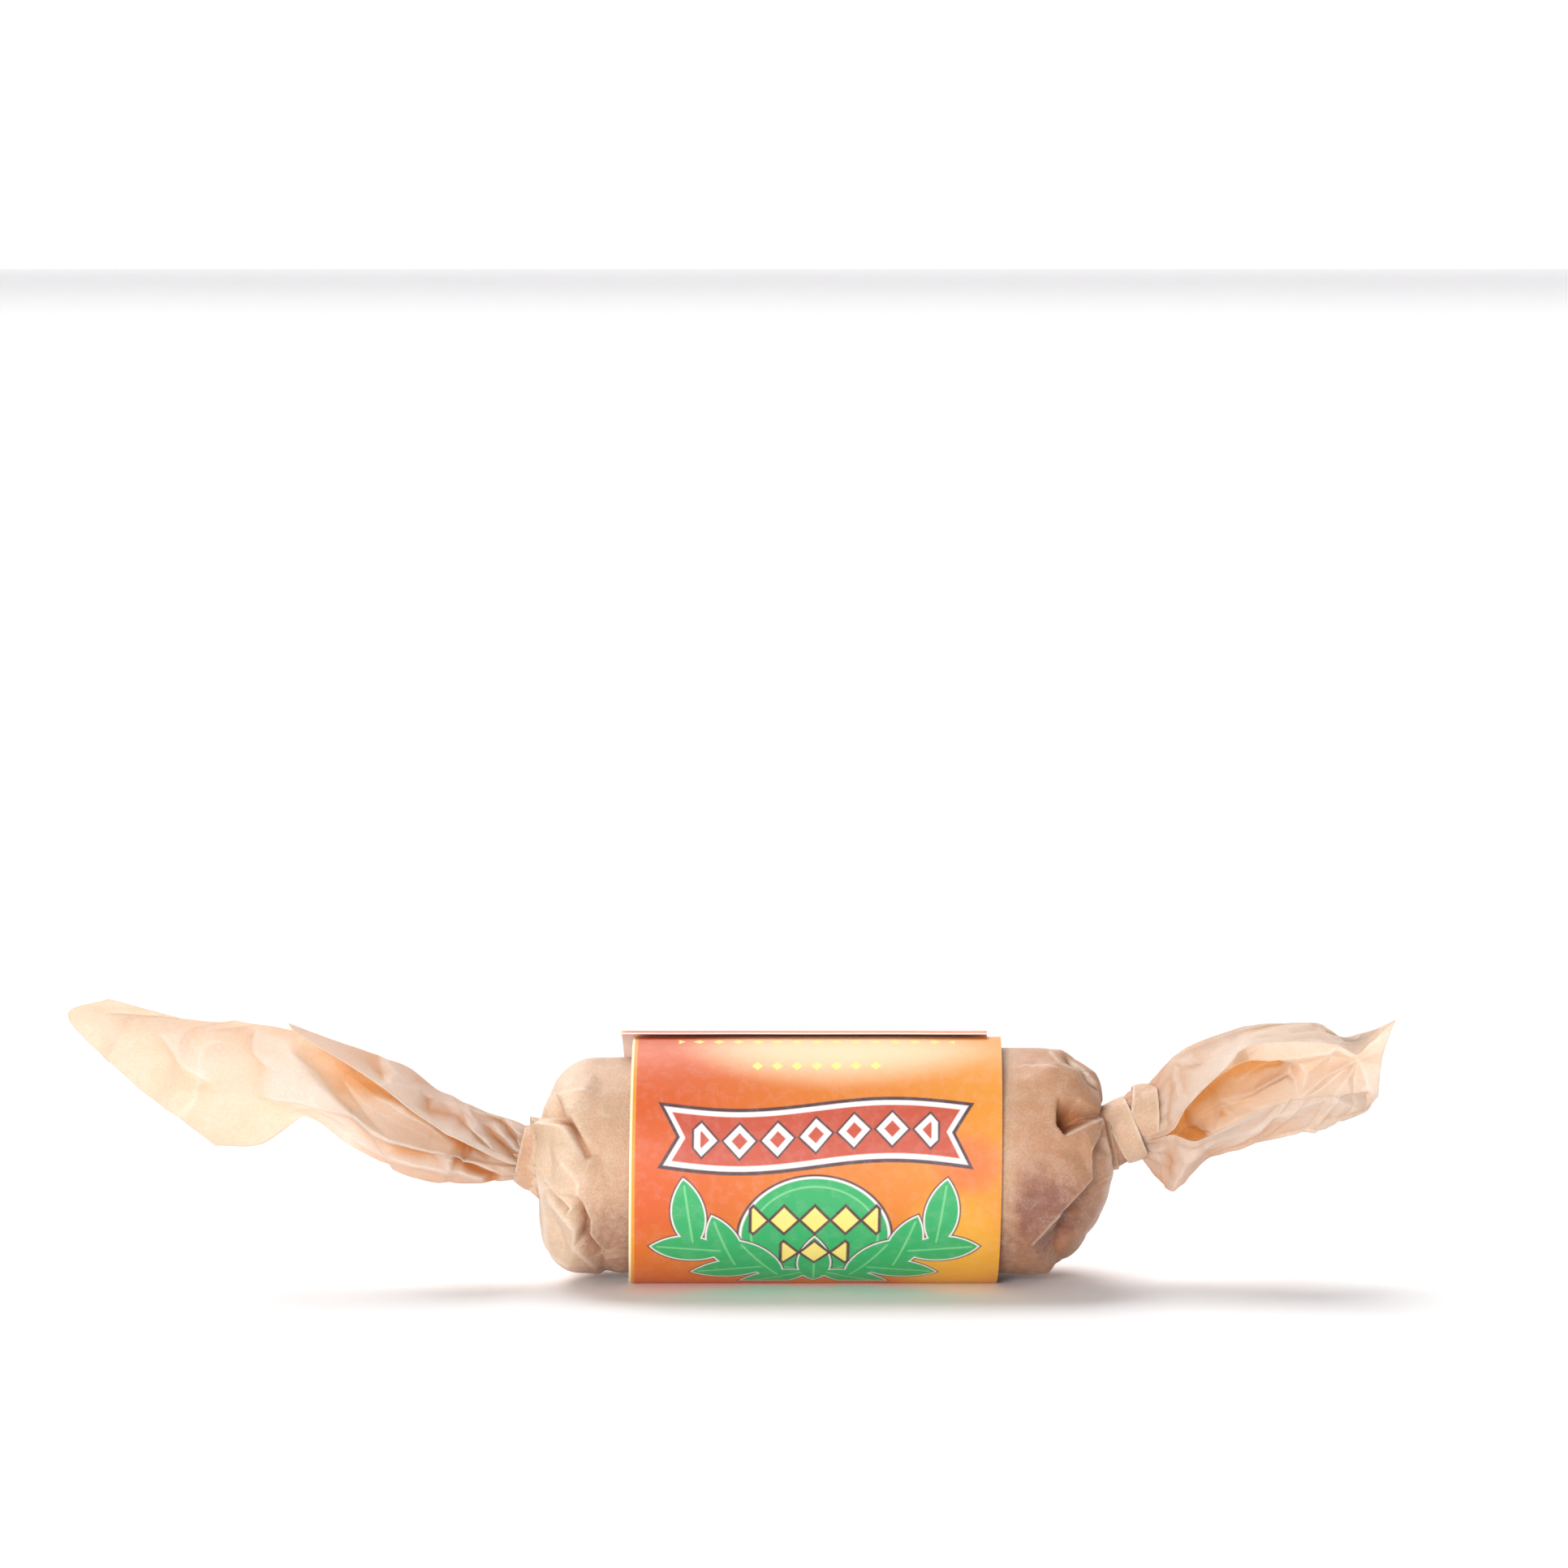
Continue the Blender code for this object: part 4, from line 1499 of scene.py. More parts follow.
    def neck(self, stations: tuple, angles: np.ndarray, seed: int) -> list[np.ndarray]:
        """Lay the rings of a twisted neck, with ridges that wind round it.

        Args:
            stations: Place, height, radius and tilt from the body outwards.
            angles: Angles up from the front.
            seed: Picks the wrinkles.

        Returns:
            The rings.
        """
        count = (len(stations) - 1) * self.neck_step + 1
        rings = []
        for number, (place, height, radius, tilt) in enumerate(smooth_line(np.array(stations), count)):
            part = number / self.neck_step
            turned = self.ridge_count * angles + self.ridge_twist * part + seed
            ridges = np.abs(np.sin(turned)) ** self.ridge_power
            turned = self.fine_count * angles + self.fine_twist * part + self.fine_sway * np.sin(2 * angles)
            size = self.neck_size + self.ridges * ridges + self.fine_ridges * np.abs(np.sin(turned))
            rings.append(self.ring(place, height, radius * size, tilt, angles))
        return rings

    def end_places(self, shoulder: float, depth: float, radius: float, power: float, sign: int) -> np.ndarray:
        """Space the rings of one end evenly, from its flat face back to the shoulder.

        Args:
            shoulder: Where the end starts.
            depth: How far it reaches.
            radius: The radius at the shoulder.
            power: How square it is.
            sign: -1 on the left and 1 on the right.

        Returns:
            Places along the candy.
        """
        quarter = np.linspace(0.0, math.pi / 2, self.end_samples)
        share = self.end_face + (1.0 - self.end_face) * np.sin(quarter)
        reach = depth * (1 - share**power) ** (1 / power)
        run = np.concatenate([[0.0], np.cumsum(np.hypot(np.diff(reach), radius * np.diff(share)))])
        return shoulder + sign * np.interp(np.linspace(0.0, run[-1], self.end_rings), run, reach)

    def pressed(self, points: np.ndarray, normals: np.ndarray, fold: Fold) -> tuple[np.ndarray, ...]:
        """Work out what one fold does to the paper.

        Args:
            points: The body's points.
            normals: Their outward directions.
            fold: The fold.

        Returns:
            Shift outwards, the painted shade deep in the fold at each point, and how close it is to the
            fold's edge.
        """
        line = []
        for place, degrees in fold.path:
            radius, height = self.profile(place)
            angle = math.radians(degrees)
            line.append((place, -radius * math.cos(angle), height + radius * math.sin(angle)))
        line = smooth_line(np.array(line), fold.steps)
        shift, deep, edge = (np.zeros(len(points)) for _ in range(3))
        widest = np.ptp(line, axis=0).max() + 4 * fold.width
        near = np.linalg.norm(points - line.mean(axis=0), axis=1) < widest
        chosen = points[near]
        offset = chosen[:, None, :] - line[None, :, :]
        away = np.linalg.norm(offset, axis=2)
        nearest = np.argmin(away, axis=1)
        side = np.cross(np.gradient(line, axis=0)[nearest], normals[near])
        side = side / np.maximum(np.linalg.norm(side, axis=1, keepdims=True), TINY)
        row = np.arange(len(chosen))
        across = np.einsum("ij,ij->i", offset[row, nearest], side)
        distance = away[row, nearest]
        raised = smooth_step(across / fold.edge + 0.5)
        part = nearest / (len(line) - 1)
        ends = smooth_step(part / fold.taper) * smooth_step((1 - part) / fold.taper)
        fade = ends * np.exp(-((distance / fold.width) ** 2))
        hollow = fold.depth * fade
        swell = fold.lip * ends * np.exp(-((distance / (fold.lip_reach * fold.width)) ** 2))
        shift[near] = swell * raised - hollow * (1 - raised) - fold.lip_depth * hollow * raised
        # Painted shade deep in the fold, less on its raised side.
        deep[near] = min(fold.depth, fold.deepest) * fade * (1 - fold.lip_shade * raised)
        half, reach = fold.worn_half
        edge[near] = ends * np.exp(-((across / half) ** 2)) * np.exp(-((distance / reach) ** 2))
        return shift, deep, edge

    def smooth_body(self) -> tuple[np.ndarray, np.ndarray, np.ndarray]:
        """Lay the rings of the body and its necks, without folds.

        Returns:
            Points ring by ring, their outward directions, and their distances from the middle of their ring.
        """
        angles = np.linspace(0, 2 * math.pi, self.around, endpoint=False)
        left = (self.left_shoulder, self.left_depth, self.left_radius, self.left_power, -1)
        right = (self.right_shoulder, self.right_depth, self.right_radius, self.right_power, 1)
        sides = np.linspace(self.left_shoulder, self.right_shoulder, self.side_rings + 2)[1:-1]
        rings = self.neck(self.left_neck, angles, 1)[::-1]
        for place in np.concatenate([self.end_places(*left), sides, self.end_places(*right)[::-1]]):
            radius, height = self.profile(float(place))
            rings.append(self.ring(float(place), height, radius, 0.0, angles))
        rings += self.neck(self.right_neck, angles, 2)
        grid = np.array(rings)
        normals = np.cross(np.gradient(grid, axis=0), np.roll(grid, -1, axis=1) - np.roll(grid, 1, axis=1))
        normals /= np.maximum(np.linalg.norm(normals, axis=2, keepdims=True), TINY)
        from_middle = grid - grid.mean(axis=1, keepdims=True)
        normals *= np.sign(np.sum(normals * from_middle, axis=(1, 2)))[:, None, None]
        return grid, normals.reshape(-1, 3), np.linalg.norm(from_middle, axis=2).reshape(-1)

    def crumpled(self, points: np.ndarray, from_axis: np.ndarray) -> tuple[np.ndarray, np.ndarray]:
        """Work out the small creases and bumps of the ends.

        Args:
            points: The body's points.
            from_axis: Their distances from the middle of their ring.

        Returns:
            Shift outwards, and how close each point is to the top of a crease.
        """
        across, depth, height = points.T
        turn = np.arctan2(height - self.crease_middle, -depth)
        along = np.abs(across) - self.crease_start + self.crease_right * (across > 0)
        inward = self.crease_radius - np.minimum(from_axis, self.crease_radius)
        path = np.sign(across) * (along + self.crease_inward * inward)
        wrinkle, tops = self.creases.over(path, turn * self.crease_radius)
        (broad, broad_height), (fine, fine_height) = self.bumps
        return wrinkle + (broad.at(points) * broad_height + fine.at(points) * fine_height), tops

    def looks(self, points: np.ndarray, from_axis: np.ndarray) -> tuple[np.ndarray, np.ndarray]:
        """Say how thick the paper is and where the caramel shows through.

        Args:
            points: The body's points.
            from_axis: Their distances from the middle of their ring.

        Returns:
            Layers, with painted shade on the right end and painted light on the left, and how much caramel
            shows, which also paints shade low down and on the right end.
        """
        across, _, height = points.T
        # The caramel mask also paints shade: darker towards the bottom and on the right end.
        low_side = ramp(height, *self.low_ramp) * ramp(np.abs(across), *self.low_reach_ramp)
        right, left = ramp(across, *self.right_ramp), ramp(across, *self.left_ramp)
        patch = np.exp(-np.sum((points[:, [0, 2]] - np.array(self.patch)) ** 2, axis=1) / self.patch_size**2)
        layers = self.plain_layers + self.neck_layers * ramp(from_axis, *self.neck_ramp)
        # Painted shade on the right end and painted light on the left end.
        layers = layers + self.right_painted_shade * right - self.left_painted_light * left
        right_side = self.right_caramel_and_shade * right * ramp(height, *self.right_low_ramp)
        return layers, np.maximum(low_side * self.low_caramel_and_shade, patch + right_side)

    def build(self, material: bpy.types.Material) -> bpy.types.Object:
        """Build the body.

        Args:
            material: Its finish.

        Returns:
            The object.
        """
        grid, normals, from_axis = self.smooth_body()
        points = grid.reshape(-1, 3)
        seen = FrontView().of(points)
        shift, deep, worn = (np.zeros(len(points)) for _ in range(3))
        for fold in self.folds:
            one = self.pressed(points, normals, fold)
            shift += one[0]
            deep = np.maximum(deep, one[1])
            worn = np.maximum(worn, one[2])
        fade = ramp(from_axis, *self.folds_ramp)
        ends = ramp(np.abs(points[:, 0]), *self.ends_ramp)
        small, tops = self.crumpled(points, from_axis)
        shift = shift * fade + small * ends * ramp(from_axis, *self.creases_ramp)
        least, most = self.shift_range
        hidden = np.abs(points[:, 0]) < self.under_label
        shift = np.clip(shift, least, np.where(hidden, self.under_label_rise, most))
        facing = ramp(normals[:, 1], *self.front_ramp) * ramp(from_axis, *self.facets_ramp) * ends
        points = points + normals * shift[:, None]
        for facets in self.facets:
            towards, hollow, edge = facets.press(seen)
            points += normals * (towards * facing)[:, None]
            deep = np.maximum(deep, hollow * facing)
            worn = np.maximum(worn, edge * facing)
        points[:, 2] = np.maximum(points[:, 2], self.lowest)
        faces = grid_faces(len(grid), self.around, closed=True)
        faces.append(tuple(reversed(range(self.around))))
        faces.append(tuple(range((len(grid) - 1) * self.around, len(grid) * self.around)))
        layers, caramel = self.looks(points, from_axis)
        values = {
            "layers": layers,
            # Painted shade in folds and hollows.
            "painted_fold_shade": np.clip(deep * fade * self.fold_shade_share, 0.0, 1.0),
            "caramel": caramel,
            "worn": np.clip(worn * fade + self.worn_tops * tops * ends, 0.0, 1.0),
        }
        return make_piece("candy_body", points, faces, [material], Kind.WRAPPER, values)


@dataclass
class Tail:
    """A twisted paper tail, a sheet across named fold lines. Lengths are in millimetres.

    Attributes:
        name: The piece's name.
        lines: Fold lines from the neck to the free edge, in the order they lie round the tail.
        rounded: The lines that the paper passes in a curve.
        centre: A point inside the neck.
        short: Share of the stations that a short line has.
        strip_ends: Where a strip ends, at its first line and at its second.
        seed: Picks the creases.
        painted_fold_shade: How much painted shade the paper at each line takes, near the neck and at the free
            edge.
        creases: Creases and facets for each group of strips, named by the lines that the strips start at.
        stations: How many points a fold line is split into.
        steps: How many rows a strip has.
        thickness: How thick the paper is.
        pleats: How many fine pleats go round the tail at the neck.
        pleat_height: How tall they are.
        pleat_reach: How far from the neck they go.
        pleat_rise: Where they start, and how far they take to rise.
        pleat_fade: Where they start to fade.
        pleat_lean: How many pleats they lean by in each millimetre.
        wander: Pitch of their wander, and how many pleats it goes.
        crumple: How tall the long creases are.
        crumple_rise: Where the creases start, and how far they take to rise.
        short_share: How tall the short creases are, as a share of the long ones.
        root_size: How far inside the neck the fold lines start, as a share of their distance from its middle.
        layers: How many more layers count at the neck, as a share of a thick stack.
        layer_reach: How far from the neck those go.
        least_layers: The layers that count everywhere.
        painted_light_by_shift: How many fewer layers count for each millimetre that the paper stands towards
            the viewer: painted light on raised paper and painted shade on paper that lies back.
        shift_range: The least and the greatest such distance that counts.
    """

    name: str
    lines: dict[str, tuple[Point, ...]]
    rounded: tuple[str, ...]
    centre: Point
    short: dict[str, float]
    strip_ends: dict[str, tuple[float, float]]
    seed: int
    painted_fold_shade: dict[str, tuple[float, float]]
    creases: dict[tuple[str, ...], tuple[Crease | Facets, ...]]
    stations: int = 220
    steps: int = 30
    thickness: float = 0.06
    pleats: float = 17.0
    pleat_height: float = 0.16
    pleat_reach: float = 7.0
    pleat_rise: tuple[float, float] = (0.3, 1.2)
    pleat_fade: float = 2.0
    pleat_lean: float = 0.08
    wander: tuple[float, float] = (3.0, 0.35)
    crumple: float = 0.3
    crumple_rise: tuple[float, float] = (1.5, 4.0)
    short_share: float = 0.45
    root_size: float = 0.8
    layers: float = 0.75
    layer_reach: float = 12.0
    least_layers: float = 0.37
    painted_light_by_shift: float = 0.8
    shift_range: tuple[float, float] = (-1.0, 0.45)

    def rooted(self, line: tuple[Point, ...]) -> np.ndarray:
        """Start a fold line inside the neck.

        Args:
            line: The fold line.

        Returns:
            The line with one more point at its start.
        """
        first = np.asarray(line[0], float)
        centre = np.asarray(self.centre, float)
        root = centre + (first - centre) * np.array([0.0, self.root_size, self.root_size])
        return np.array([root, *line])

    def across(self, lines: dict[str, np.ndarray], reach: dict[str, int]) -> np.ndarray:
        """Lay rows of points between neighbouring fold lines.

        Args:
            lines: The fold lines, evenly spaced.
            reach: The last station of each line.

        Returns:
            The rows.
        """
        names = list(lines)
        grid = np.array([lines[name] for name in names])
        station = np.arange(self.stations)[:, None]
        rows = []
        for number in range(len(names) - 1):
            start, end = grid[number], grid[number + 1]
            chord = end - start
            before, after = grid[max(number - 1, 0)], grid[min(number + 2, len(names) - 1)]
            from_start = (end - before) / 2 if names[number] in self.rounded else chord
            from_start = np.where(station <= reach[names[max(number - 1, 0)]], from_start, chord)
            to_end = (after - start) / 2 if names[number + 1] in self.rounded else chord
            for step in range(self.steps):
                part = step / self.steps
                rows.append(hermite(start, from_start, end, to_end, part))
        rows.append(grid[-1])
        return np.array(rows)

    def strip_faces(self, names: list[str], count: int) -> list[tuple[int, ...]]:
        """Join the rows of points, each strip as far as it goes.

        Args:
            names: The fold lines in order.
            count: How many rows there are.

        Returns:
            The faces.
        """
        last = self.stations - 1
        faces = []
        for row in range(count - 1):
            start, end = self.strip_ends.get(names[row // self.steps], (1.0, 1.0))
            part = (row % self.steps) / self.steps
            one = int(round(last * (start + (end - start) * part)))
            two = int(round(last * (start + (end - start) * (part + 1 / self.steps))))
            low, high = row * self.stations, (row + 1) * self.stations
            for station in range(min(one, two)):
                faces.append((low + station, low + station + 1, high + station + 1, high + station))
            for station in range(two, one):
                faces.append((low + station, low + station + 1, high + two))
            for station in range(one, two):
                faces.append((low + one, high + station + 1, high + station))
        return faces

    def build(self, material: bpy.types.Material) -> bpy.types.Object:
        """Build the tail.

        Args:
            material: Its finish.

        Returns:
            The object.
        """
        lines, reach = {}, {}
        for name, line in self.lines.items():
            reach[name] = int(round((self.stations - 1) * self.short.get(name, 1.0)))
            even = smooth_line(self.rooted(line), reach[name] + 1)
            rest = np.repeat(even[-1:], self.stations - len(even), axis=0)
            lines[name] = np.concatenate([even, rest])
        names = list(lines)
        rows = self.across(lines, reach)
        faces = self.strip_faces(names, len(rows))
        points = rows.reshape(-1, 3)
        shift, deep, edge = self.creased(points, names)
        relief, worn = self.relief(rows)
        moved = points + self.outward(rows) * relief[:, None]
        moved[:, 1] -= shift
        share = np.linspace(0.0, 1.0, self.stations)[None, :]
        near_neck = 1.0 - ramp(run_along(rows, 1), 1.0, self.layer_reach)
        layers = (self.layers * near_neck + self.least_layers).reshape(-1)
        # Painted light and shade: raised paper paler, paper that lies back darker.
        layers = np.clip(layers - self.painted_light_by_shift * np.clip(shift, *self.shift_range), 0.0, 1.1)
        values = {
            "layers": layers,
            # Painted shade deep in the folds.
            "painted_fold_shade": np.clip(self.fold_shade_field(names, share) + deep, 0.0, 1.0),
            "worn": np.clip(0.6 * worn + edge, 0.0, 1.0),
        }
        return thin_piece(self.name, moved, faces, self.thickness, values, material)

    def relief(self, rows: np.ndarray) -> tuple[np.ndarray, np.ndarray]:
        """Work out the fine pleats and crumples of the paper.

        Args:
            rows: The rows of points.

        Returns:
            Heights, and how worn each point is.
        """
        run, width = run_along(rows, 1), run_along(rows, 0)
        turns = width / np.maximum(width[-1:, :], 1e-6)
        pitch, sway = self.wander
        wander = SoftNoise(self.seed + 2, pitch).at(rows.reshape(-1, 3)).reshape(run.shape) * sway
        pleat = np.abs(((turns * self.pleats + self.pleat_lean * run + wander) % 1.0) - 0.5) * 2.0 - 0.5
        fade = 1.0 - ramp(run, self.pleat_fade, self.pleat_reach)
        pleat *= self.pleat_height * ramp(run, *self.pleat_rise) * fade
        flat = run.reshape(-1), width.reshape(-1)
        long = Creases(self.seed, 22, self.crumple, width=(0.5, 1.8), length=(6.0, 20.0), lean=0.5)
        small = self.crumple * self.short_share
        short = Creases(self.seed + 1, 70, small, width=(0.3, 0.9), length=(2.0, 7.0), lean=1.6)
        long_height, long_top = long.over(*flat)
        short_height, short_top = short.over(*flat)
        rise = ramp(flat[0], *self.crumple_rise)
        height = pleat.reshape(-1) + (long_height + short_height) * rise
        worn = np.clip(long_top + 0.6 * short_top, 0.0, 1.0) * rise
        return height, worn

    def creased(self, points: np.ndarray, names: list[str]) -> tuple[np.ndarray, np.ndarray, np.ndarray]:
        """Press the named creases into the sheet.

        Args:
            points: The sheet's points.
            names: The fold lines in order.

        Returns:
            Shift towards the viewer, the painted shade deep in a fold at each point, and how worn it is.
        """
        seen = FrontView().of(points)
        total, deep, worn = (np.zeros(len(points)) for _ in range(3))
        row = np.repeat(np.arange((len(names) - 1) * self.steps + 1), self.stations)
        fade_rows = 4.0
        for strips, creases in self.creases.items():
            share = np.zeros(len(points))
            for strip in strips:
                first = names.index(strip) * self.steps
                past = np.maximum(first - row, row - first - self.steps)
                share = np.maximum(share, np.clip(1.0 - past / fade_rows, 0.0, 1.0))
            for crease in creases:
                one = crease.press(seen)
                total += one[0] * share
                deep = np.maximum(deep, one[1] * share)
                worn = np.maximum(worn, one[2] * share)
        return total, deep, worn

    def fold_shade_field(self, names: list[str], share: np.ndarray) -> np.ndarray:
        """Say how deep in a fold each point is.

        Args:
            names: The fold lines in order.
            share: Share of the way from the neck.

        Returns:
            Numbers from 0 to 1.
        """
        # Painted shade by fold line, from the neck to the free edge.
        ends = np.array([self.painted_fold_shade.get(name, (0.0, 0.0)) for name in names])
        place = np.linspace(0, len(names) - 1, (len(names) - 1) * self.steps + 1)
        near = np.interp(place, range(len(names)), ends[:, 0])[:, None]
        far = np.interp(place, range(len(names)), ends[:, 1])[:, None]
        return (near + (far - near) * smooth_step(share * 1.3)).reshape(-1)

    def outward(self, rows: np.ndarray) -> np.ndarray:
        """Find the direction out of the sheet at each point.

        Args:
            rows: The rows of points.

        Returns:
            The directions.
        """
        normals = np.cross(np.gradient(rows, axis=1), np.gradient(rows, axis=0))
        normals /= np.maximum(np.linalg.norm(normals, axis=2, keepdims=True), TINY)
        return normals.reshape(-1, 3)


FLAP_FACETS = Facets(
    {
        "tip": ((-35.4, 17.5, 0.1), (-33.8, 16.4, 0.2), (-32.1, 15.5, 0.1)),
        "top dent": ((-31.3, 15.4, 0.0), (-30.2, 15.0, -0.1), (-29.9, 14.2, -0.2)),
        "bright facet": ((-29.5, 15.1, 0.3), (-28.9, 14.5, 0.4), (-28.3, 13.9, 0.4)),
        "right of it": ((-28.7, 15.0, 0.1), (-27.6, 14.1, 0.1)),
        "above the ridge": ((-27.4, 13.8, 0.0), (-26.4, 13.4, 0.0)),
        "ridge": (
            (-30.0, 13.7, 0.2), (-29.4, 13.8, 0.4), (-28.4, 13.6, 0.5), (-27.3, 13.3, 0.5),
            (-26.0, 12.7, 0.4), (-24.1, 12.0, 0.5), (-23.4, 11.1, 0.5), (-22.7, 9.9, 0.4),
        ),
        "dent": ((-26.8, 12.6, -0.1), (-26.7, 11.7, -0.2)),
        "between": ((-24.9, 11.4, -0.1), (-24.0, 10.5, -0.1), (-22.9, 9.4, -0.3)),
        "second ridge": ((-24.4, 11.6, 0.1), (-23.6, 10.4, 0.4), (-22.6, 9.5, 0.4)),
        "edge": (
            (-27.5, 11.8, 0.2), (-25.2, 10.4, 0.4), (-23.7, 9.8, 0.5), (-21.7, 8.6, 0.5), (-20.7, 7.9, 0.3),
        ),
        "first pleat": ((-22.6, 10.5, -0.2), (-21.8, 9.5, -0.4), (-20.8, 8.6, -0.3)),
        "second pleat": ((-22.2, 10.9, 0.3), (-21.4, 10.0, 0.5), (-20.6, 9.1, 0.4)),
        "third pleat": ((-21.8, 11.1, -0.2), (-21.0, 10.2, -0.3), (-20.5, 9.5, -0.2)),
        "top pleat": ((-21.4, 11.2, 0.2), (-20.6, 10.3, 0.4)),
    }
)
LEAF_FACETS = Facets(
    {
        "bright flap": (
            (-36.4, 16.0, 0.2), (-35.8, 15.4, 0.3), (-34.6, 14.4, 0.4), (-33.3, 12.7, 0.4),
            (-32.0, 11.5, 0.4),
        ),
        "beside the flap": ((-35.6, 15.5, 0.0), (-34.4, 14.5, 0.0), (-33.1, 12.8, 0.0), (-31.9, 11.6, 0.0)),
        "edge of the flap": (
            (-37.3, 12.6, 0.3), (-35.9, 12.5, 0.4), (-34.2, 12.0, 0.4), (-32.1, 11.5, 0.4),
        ),
        "below the flap": ((-37.3, 12.4, 0.0), (-35.9, 12.3, 0.0), (-34.2, 11.8, 0.0), (-32.3, 11.3, 0.1)),
        "hollow": (
            (-33.0, 15.7, -0.2), (-31.6, 14.7, -0.4), (-30.6, 13.5, -0.5), (-29.2, 12.6, -0.3),
            (-27.4, 11.3, -0.3),
        ),
        "dark hollow": ((-26.4, 10.7, -0.4), (-25.5, 10.1, -0.6), (-24.4, 9.5, -0.8), (-23.7, 9.2, -0.6)),
        "sheet below it": ((-23.6, 8.9, 0.2), (-22.6, 8.3, 0.3), (-21.2, 7.5, 0.2)),
        "middle": (
            (-32.5, 13.6, -0.2), (-31.2, 12.3, 0.1), (-29.4, 11.2, 0.3), (-27.4, 10.3, 0.4),
            (-25.4, 9.3, 0.4),
        ),
        "streak": ((-29.9, 12.5, 0.0), (-28.5, 11.9, 0.3), (-26.8, 10.8, 0.3), (-25.2, 9.5, 0.4)),
        "front edge": (
            (-31.9, 11.5, 0.4), (-30.6, 10.4, 0.4), (-29.4, 9.7, 0.4), (-27.7, 9.2, 0.4), (-25.5, 8.8, 0.4),
        ),
        "under the edge": (
            (-32.1, 11.1, 0.0), (-30.8, 10.1, 0.0), (-29.5, 9.4, -0.1), (-27.8, 8.9, -0.4),
            (-26.8, 8.7, -0.3),
        ),
        "roll": (
            (-34.0, 11.2, 0.1), (-32.6, 10.2, 0.3), (-30.2, 8.7, 0.3), (-27.4, 7.9, 0.4), (-25.5, 7.6, 0.4),
        ),
        "low roll": ((-31.4, 9.2, 0.0), (-28.8, 7.9, 0.0), (-26.5, 7.4, 0.0), (-23.1, 6.8, 0.1)),
        "dark opening": ((-24.9, 8.3, -0.5), (-23.7, 7.8, -0.9), (-22.3, 7.3, -0.6)),
        "over the opening": ((-25.3, 8.6, 0.4), (-24.1, 8.3, 0.3), (-23.0, 7.9, 0.3), (-21.6, 7.3, 0.1)),
        "under the opening": ((-25.1, 7.7, 0.4), (-24.1, 7.3, 0.4), (-23.0, 7.0, 0.3)),
    }
)
LEAF_CREASES = (
    LEAF_FACETS,
    Crease(((-30.9, 12.7), (-28.8, 11.7), (-26.8, 10.7), (-25.1, 9.4)), 0.15, -0.1, 0.6, 0.5, 0.12, 0.0, 0.8),
    Crease(((-34.9, 16.6), (-33.0, 15.5), (-31.4, 14.6)), 0.12, -0.12, 0.4, 0.5, 0.12, 0.2, 0.3),
    Crease(((-38.6, 17.6), (-38.9, 15.9), (-37.7, 14.6)), 0.3, -0.15, 1.6, 1.6, 0.3, 0.1, 0.0),
    Crease(((-45.5, 17.6), (-43.7, 14.8), (-41.6, 13.5)), 0.3, -0.15, 2.4, 2.4, 0.5, 0.05, 0.0),
    Crease(
        ((-36.8, 11.4), (-35.4, 11.9), (-33.6, 11.4), (-31.8, 10.2)), 0.12, -0.12, 0.6, 0.6, 0.15, 0.1, 0.3
    ),
)
LEFT_TAIL = Tail(
    name="left_tail",
    lines={
        "flap edge": (
            (-20.7, -1.7, 8.3), (-23.6, -3.0, 9.8), (-27.3, -4.0, 12.1), (-29.8, -3.6, 14.0),
            (-36.0, -1.2, 17.5),
        ),
        "ridge": (
            (-20.3, 0.0, 10.8), (-23.5, 0.0, 12.1), (-26.1, 0.0, 13.2), (-28.1, -0.2, 14.8),
            (-31.0, -0.3, 15.9), (-36.4, -0.4, 17.9),
        ),
        "back": ((-20.5, 1.8, 8.7), (-26.3, 3.7, 10.4), (-31.3, 3.4, 13.2)),
        "bottom": (
            (-20.6, 0.0, 7.1), (-23.5, -0.5, 6.8), (-27.6, -1.0, 7.3), (-31.6, -0.5, 9.1),
            (-35.2, 0.5, 11.1), (-38.5, 0.5, 9.3), (-41.5, 0.0, 9.3),
        ),
        "lower fold": (
            (-21.0, -1.5, 7.6), (-25.2, -3.0, 8.8), (-29.8, -3.6, 10.2), (-32.1, -2.8, 12.0),
            (-36.9, -1.0, 12.7), (-46.8, 0.0, 13.3),
        ),
        "leaf middle": (
            (-20.7, -0.4, 8.6), (-27.4, -1.2, 11.0), (-33.9, -0.6, 14.5), (-35.7, -1.3, 15.6),
            (-39.5, -0.2, 16.2), (-51.6, 0.0, 18.2),
        ),
        "leaf top": (
            (-20.4, 0.1, 9.5), (-23.6, -0.2, 10.7), (-31.0, -0.4, 14.6), (-36.6, 0.8, 17.3),
            (-43.4, 1.0, 18.0), (-48.9, 0.5, 19.5),
        ),
    },
    rounded=("back", "bottom", "leaf middle"),
    centre=(-19.2, 0.0, 8.4),
    short={"flap edge": 0.55, "ridge": 0.55, "back": 0.42},
    strip_ends={"flap edge": (0.55, 0.55), "ridge": (0.55, 0.42), "back": (0.42, 0.5)},
    seed=31,
    # Painted shade deep in the tail's folds, strongest at the neck.
    painted_fold_shade={"lower fold": (0.2, 0.0), "leaf middle": (0.3, 0.0), "leaf top": (0.8, 0.0)},
    creases={("flap edge",): (FLAP_FACETS,), ("bottom", "lower fold", "leaf middle"): LEAF_CREASES},
    layers=0.02,
    layer_reach=10.0,
)

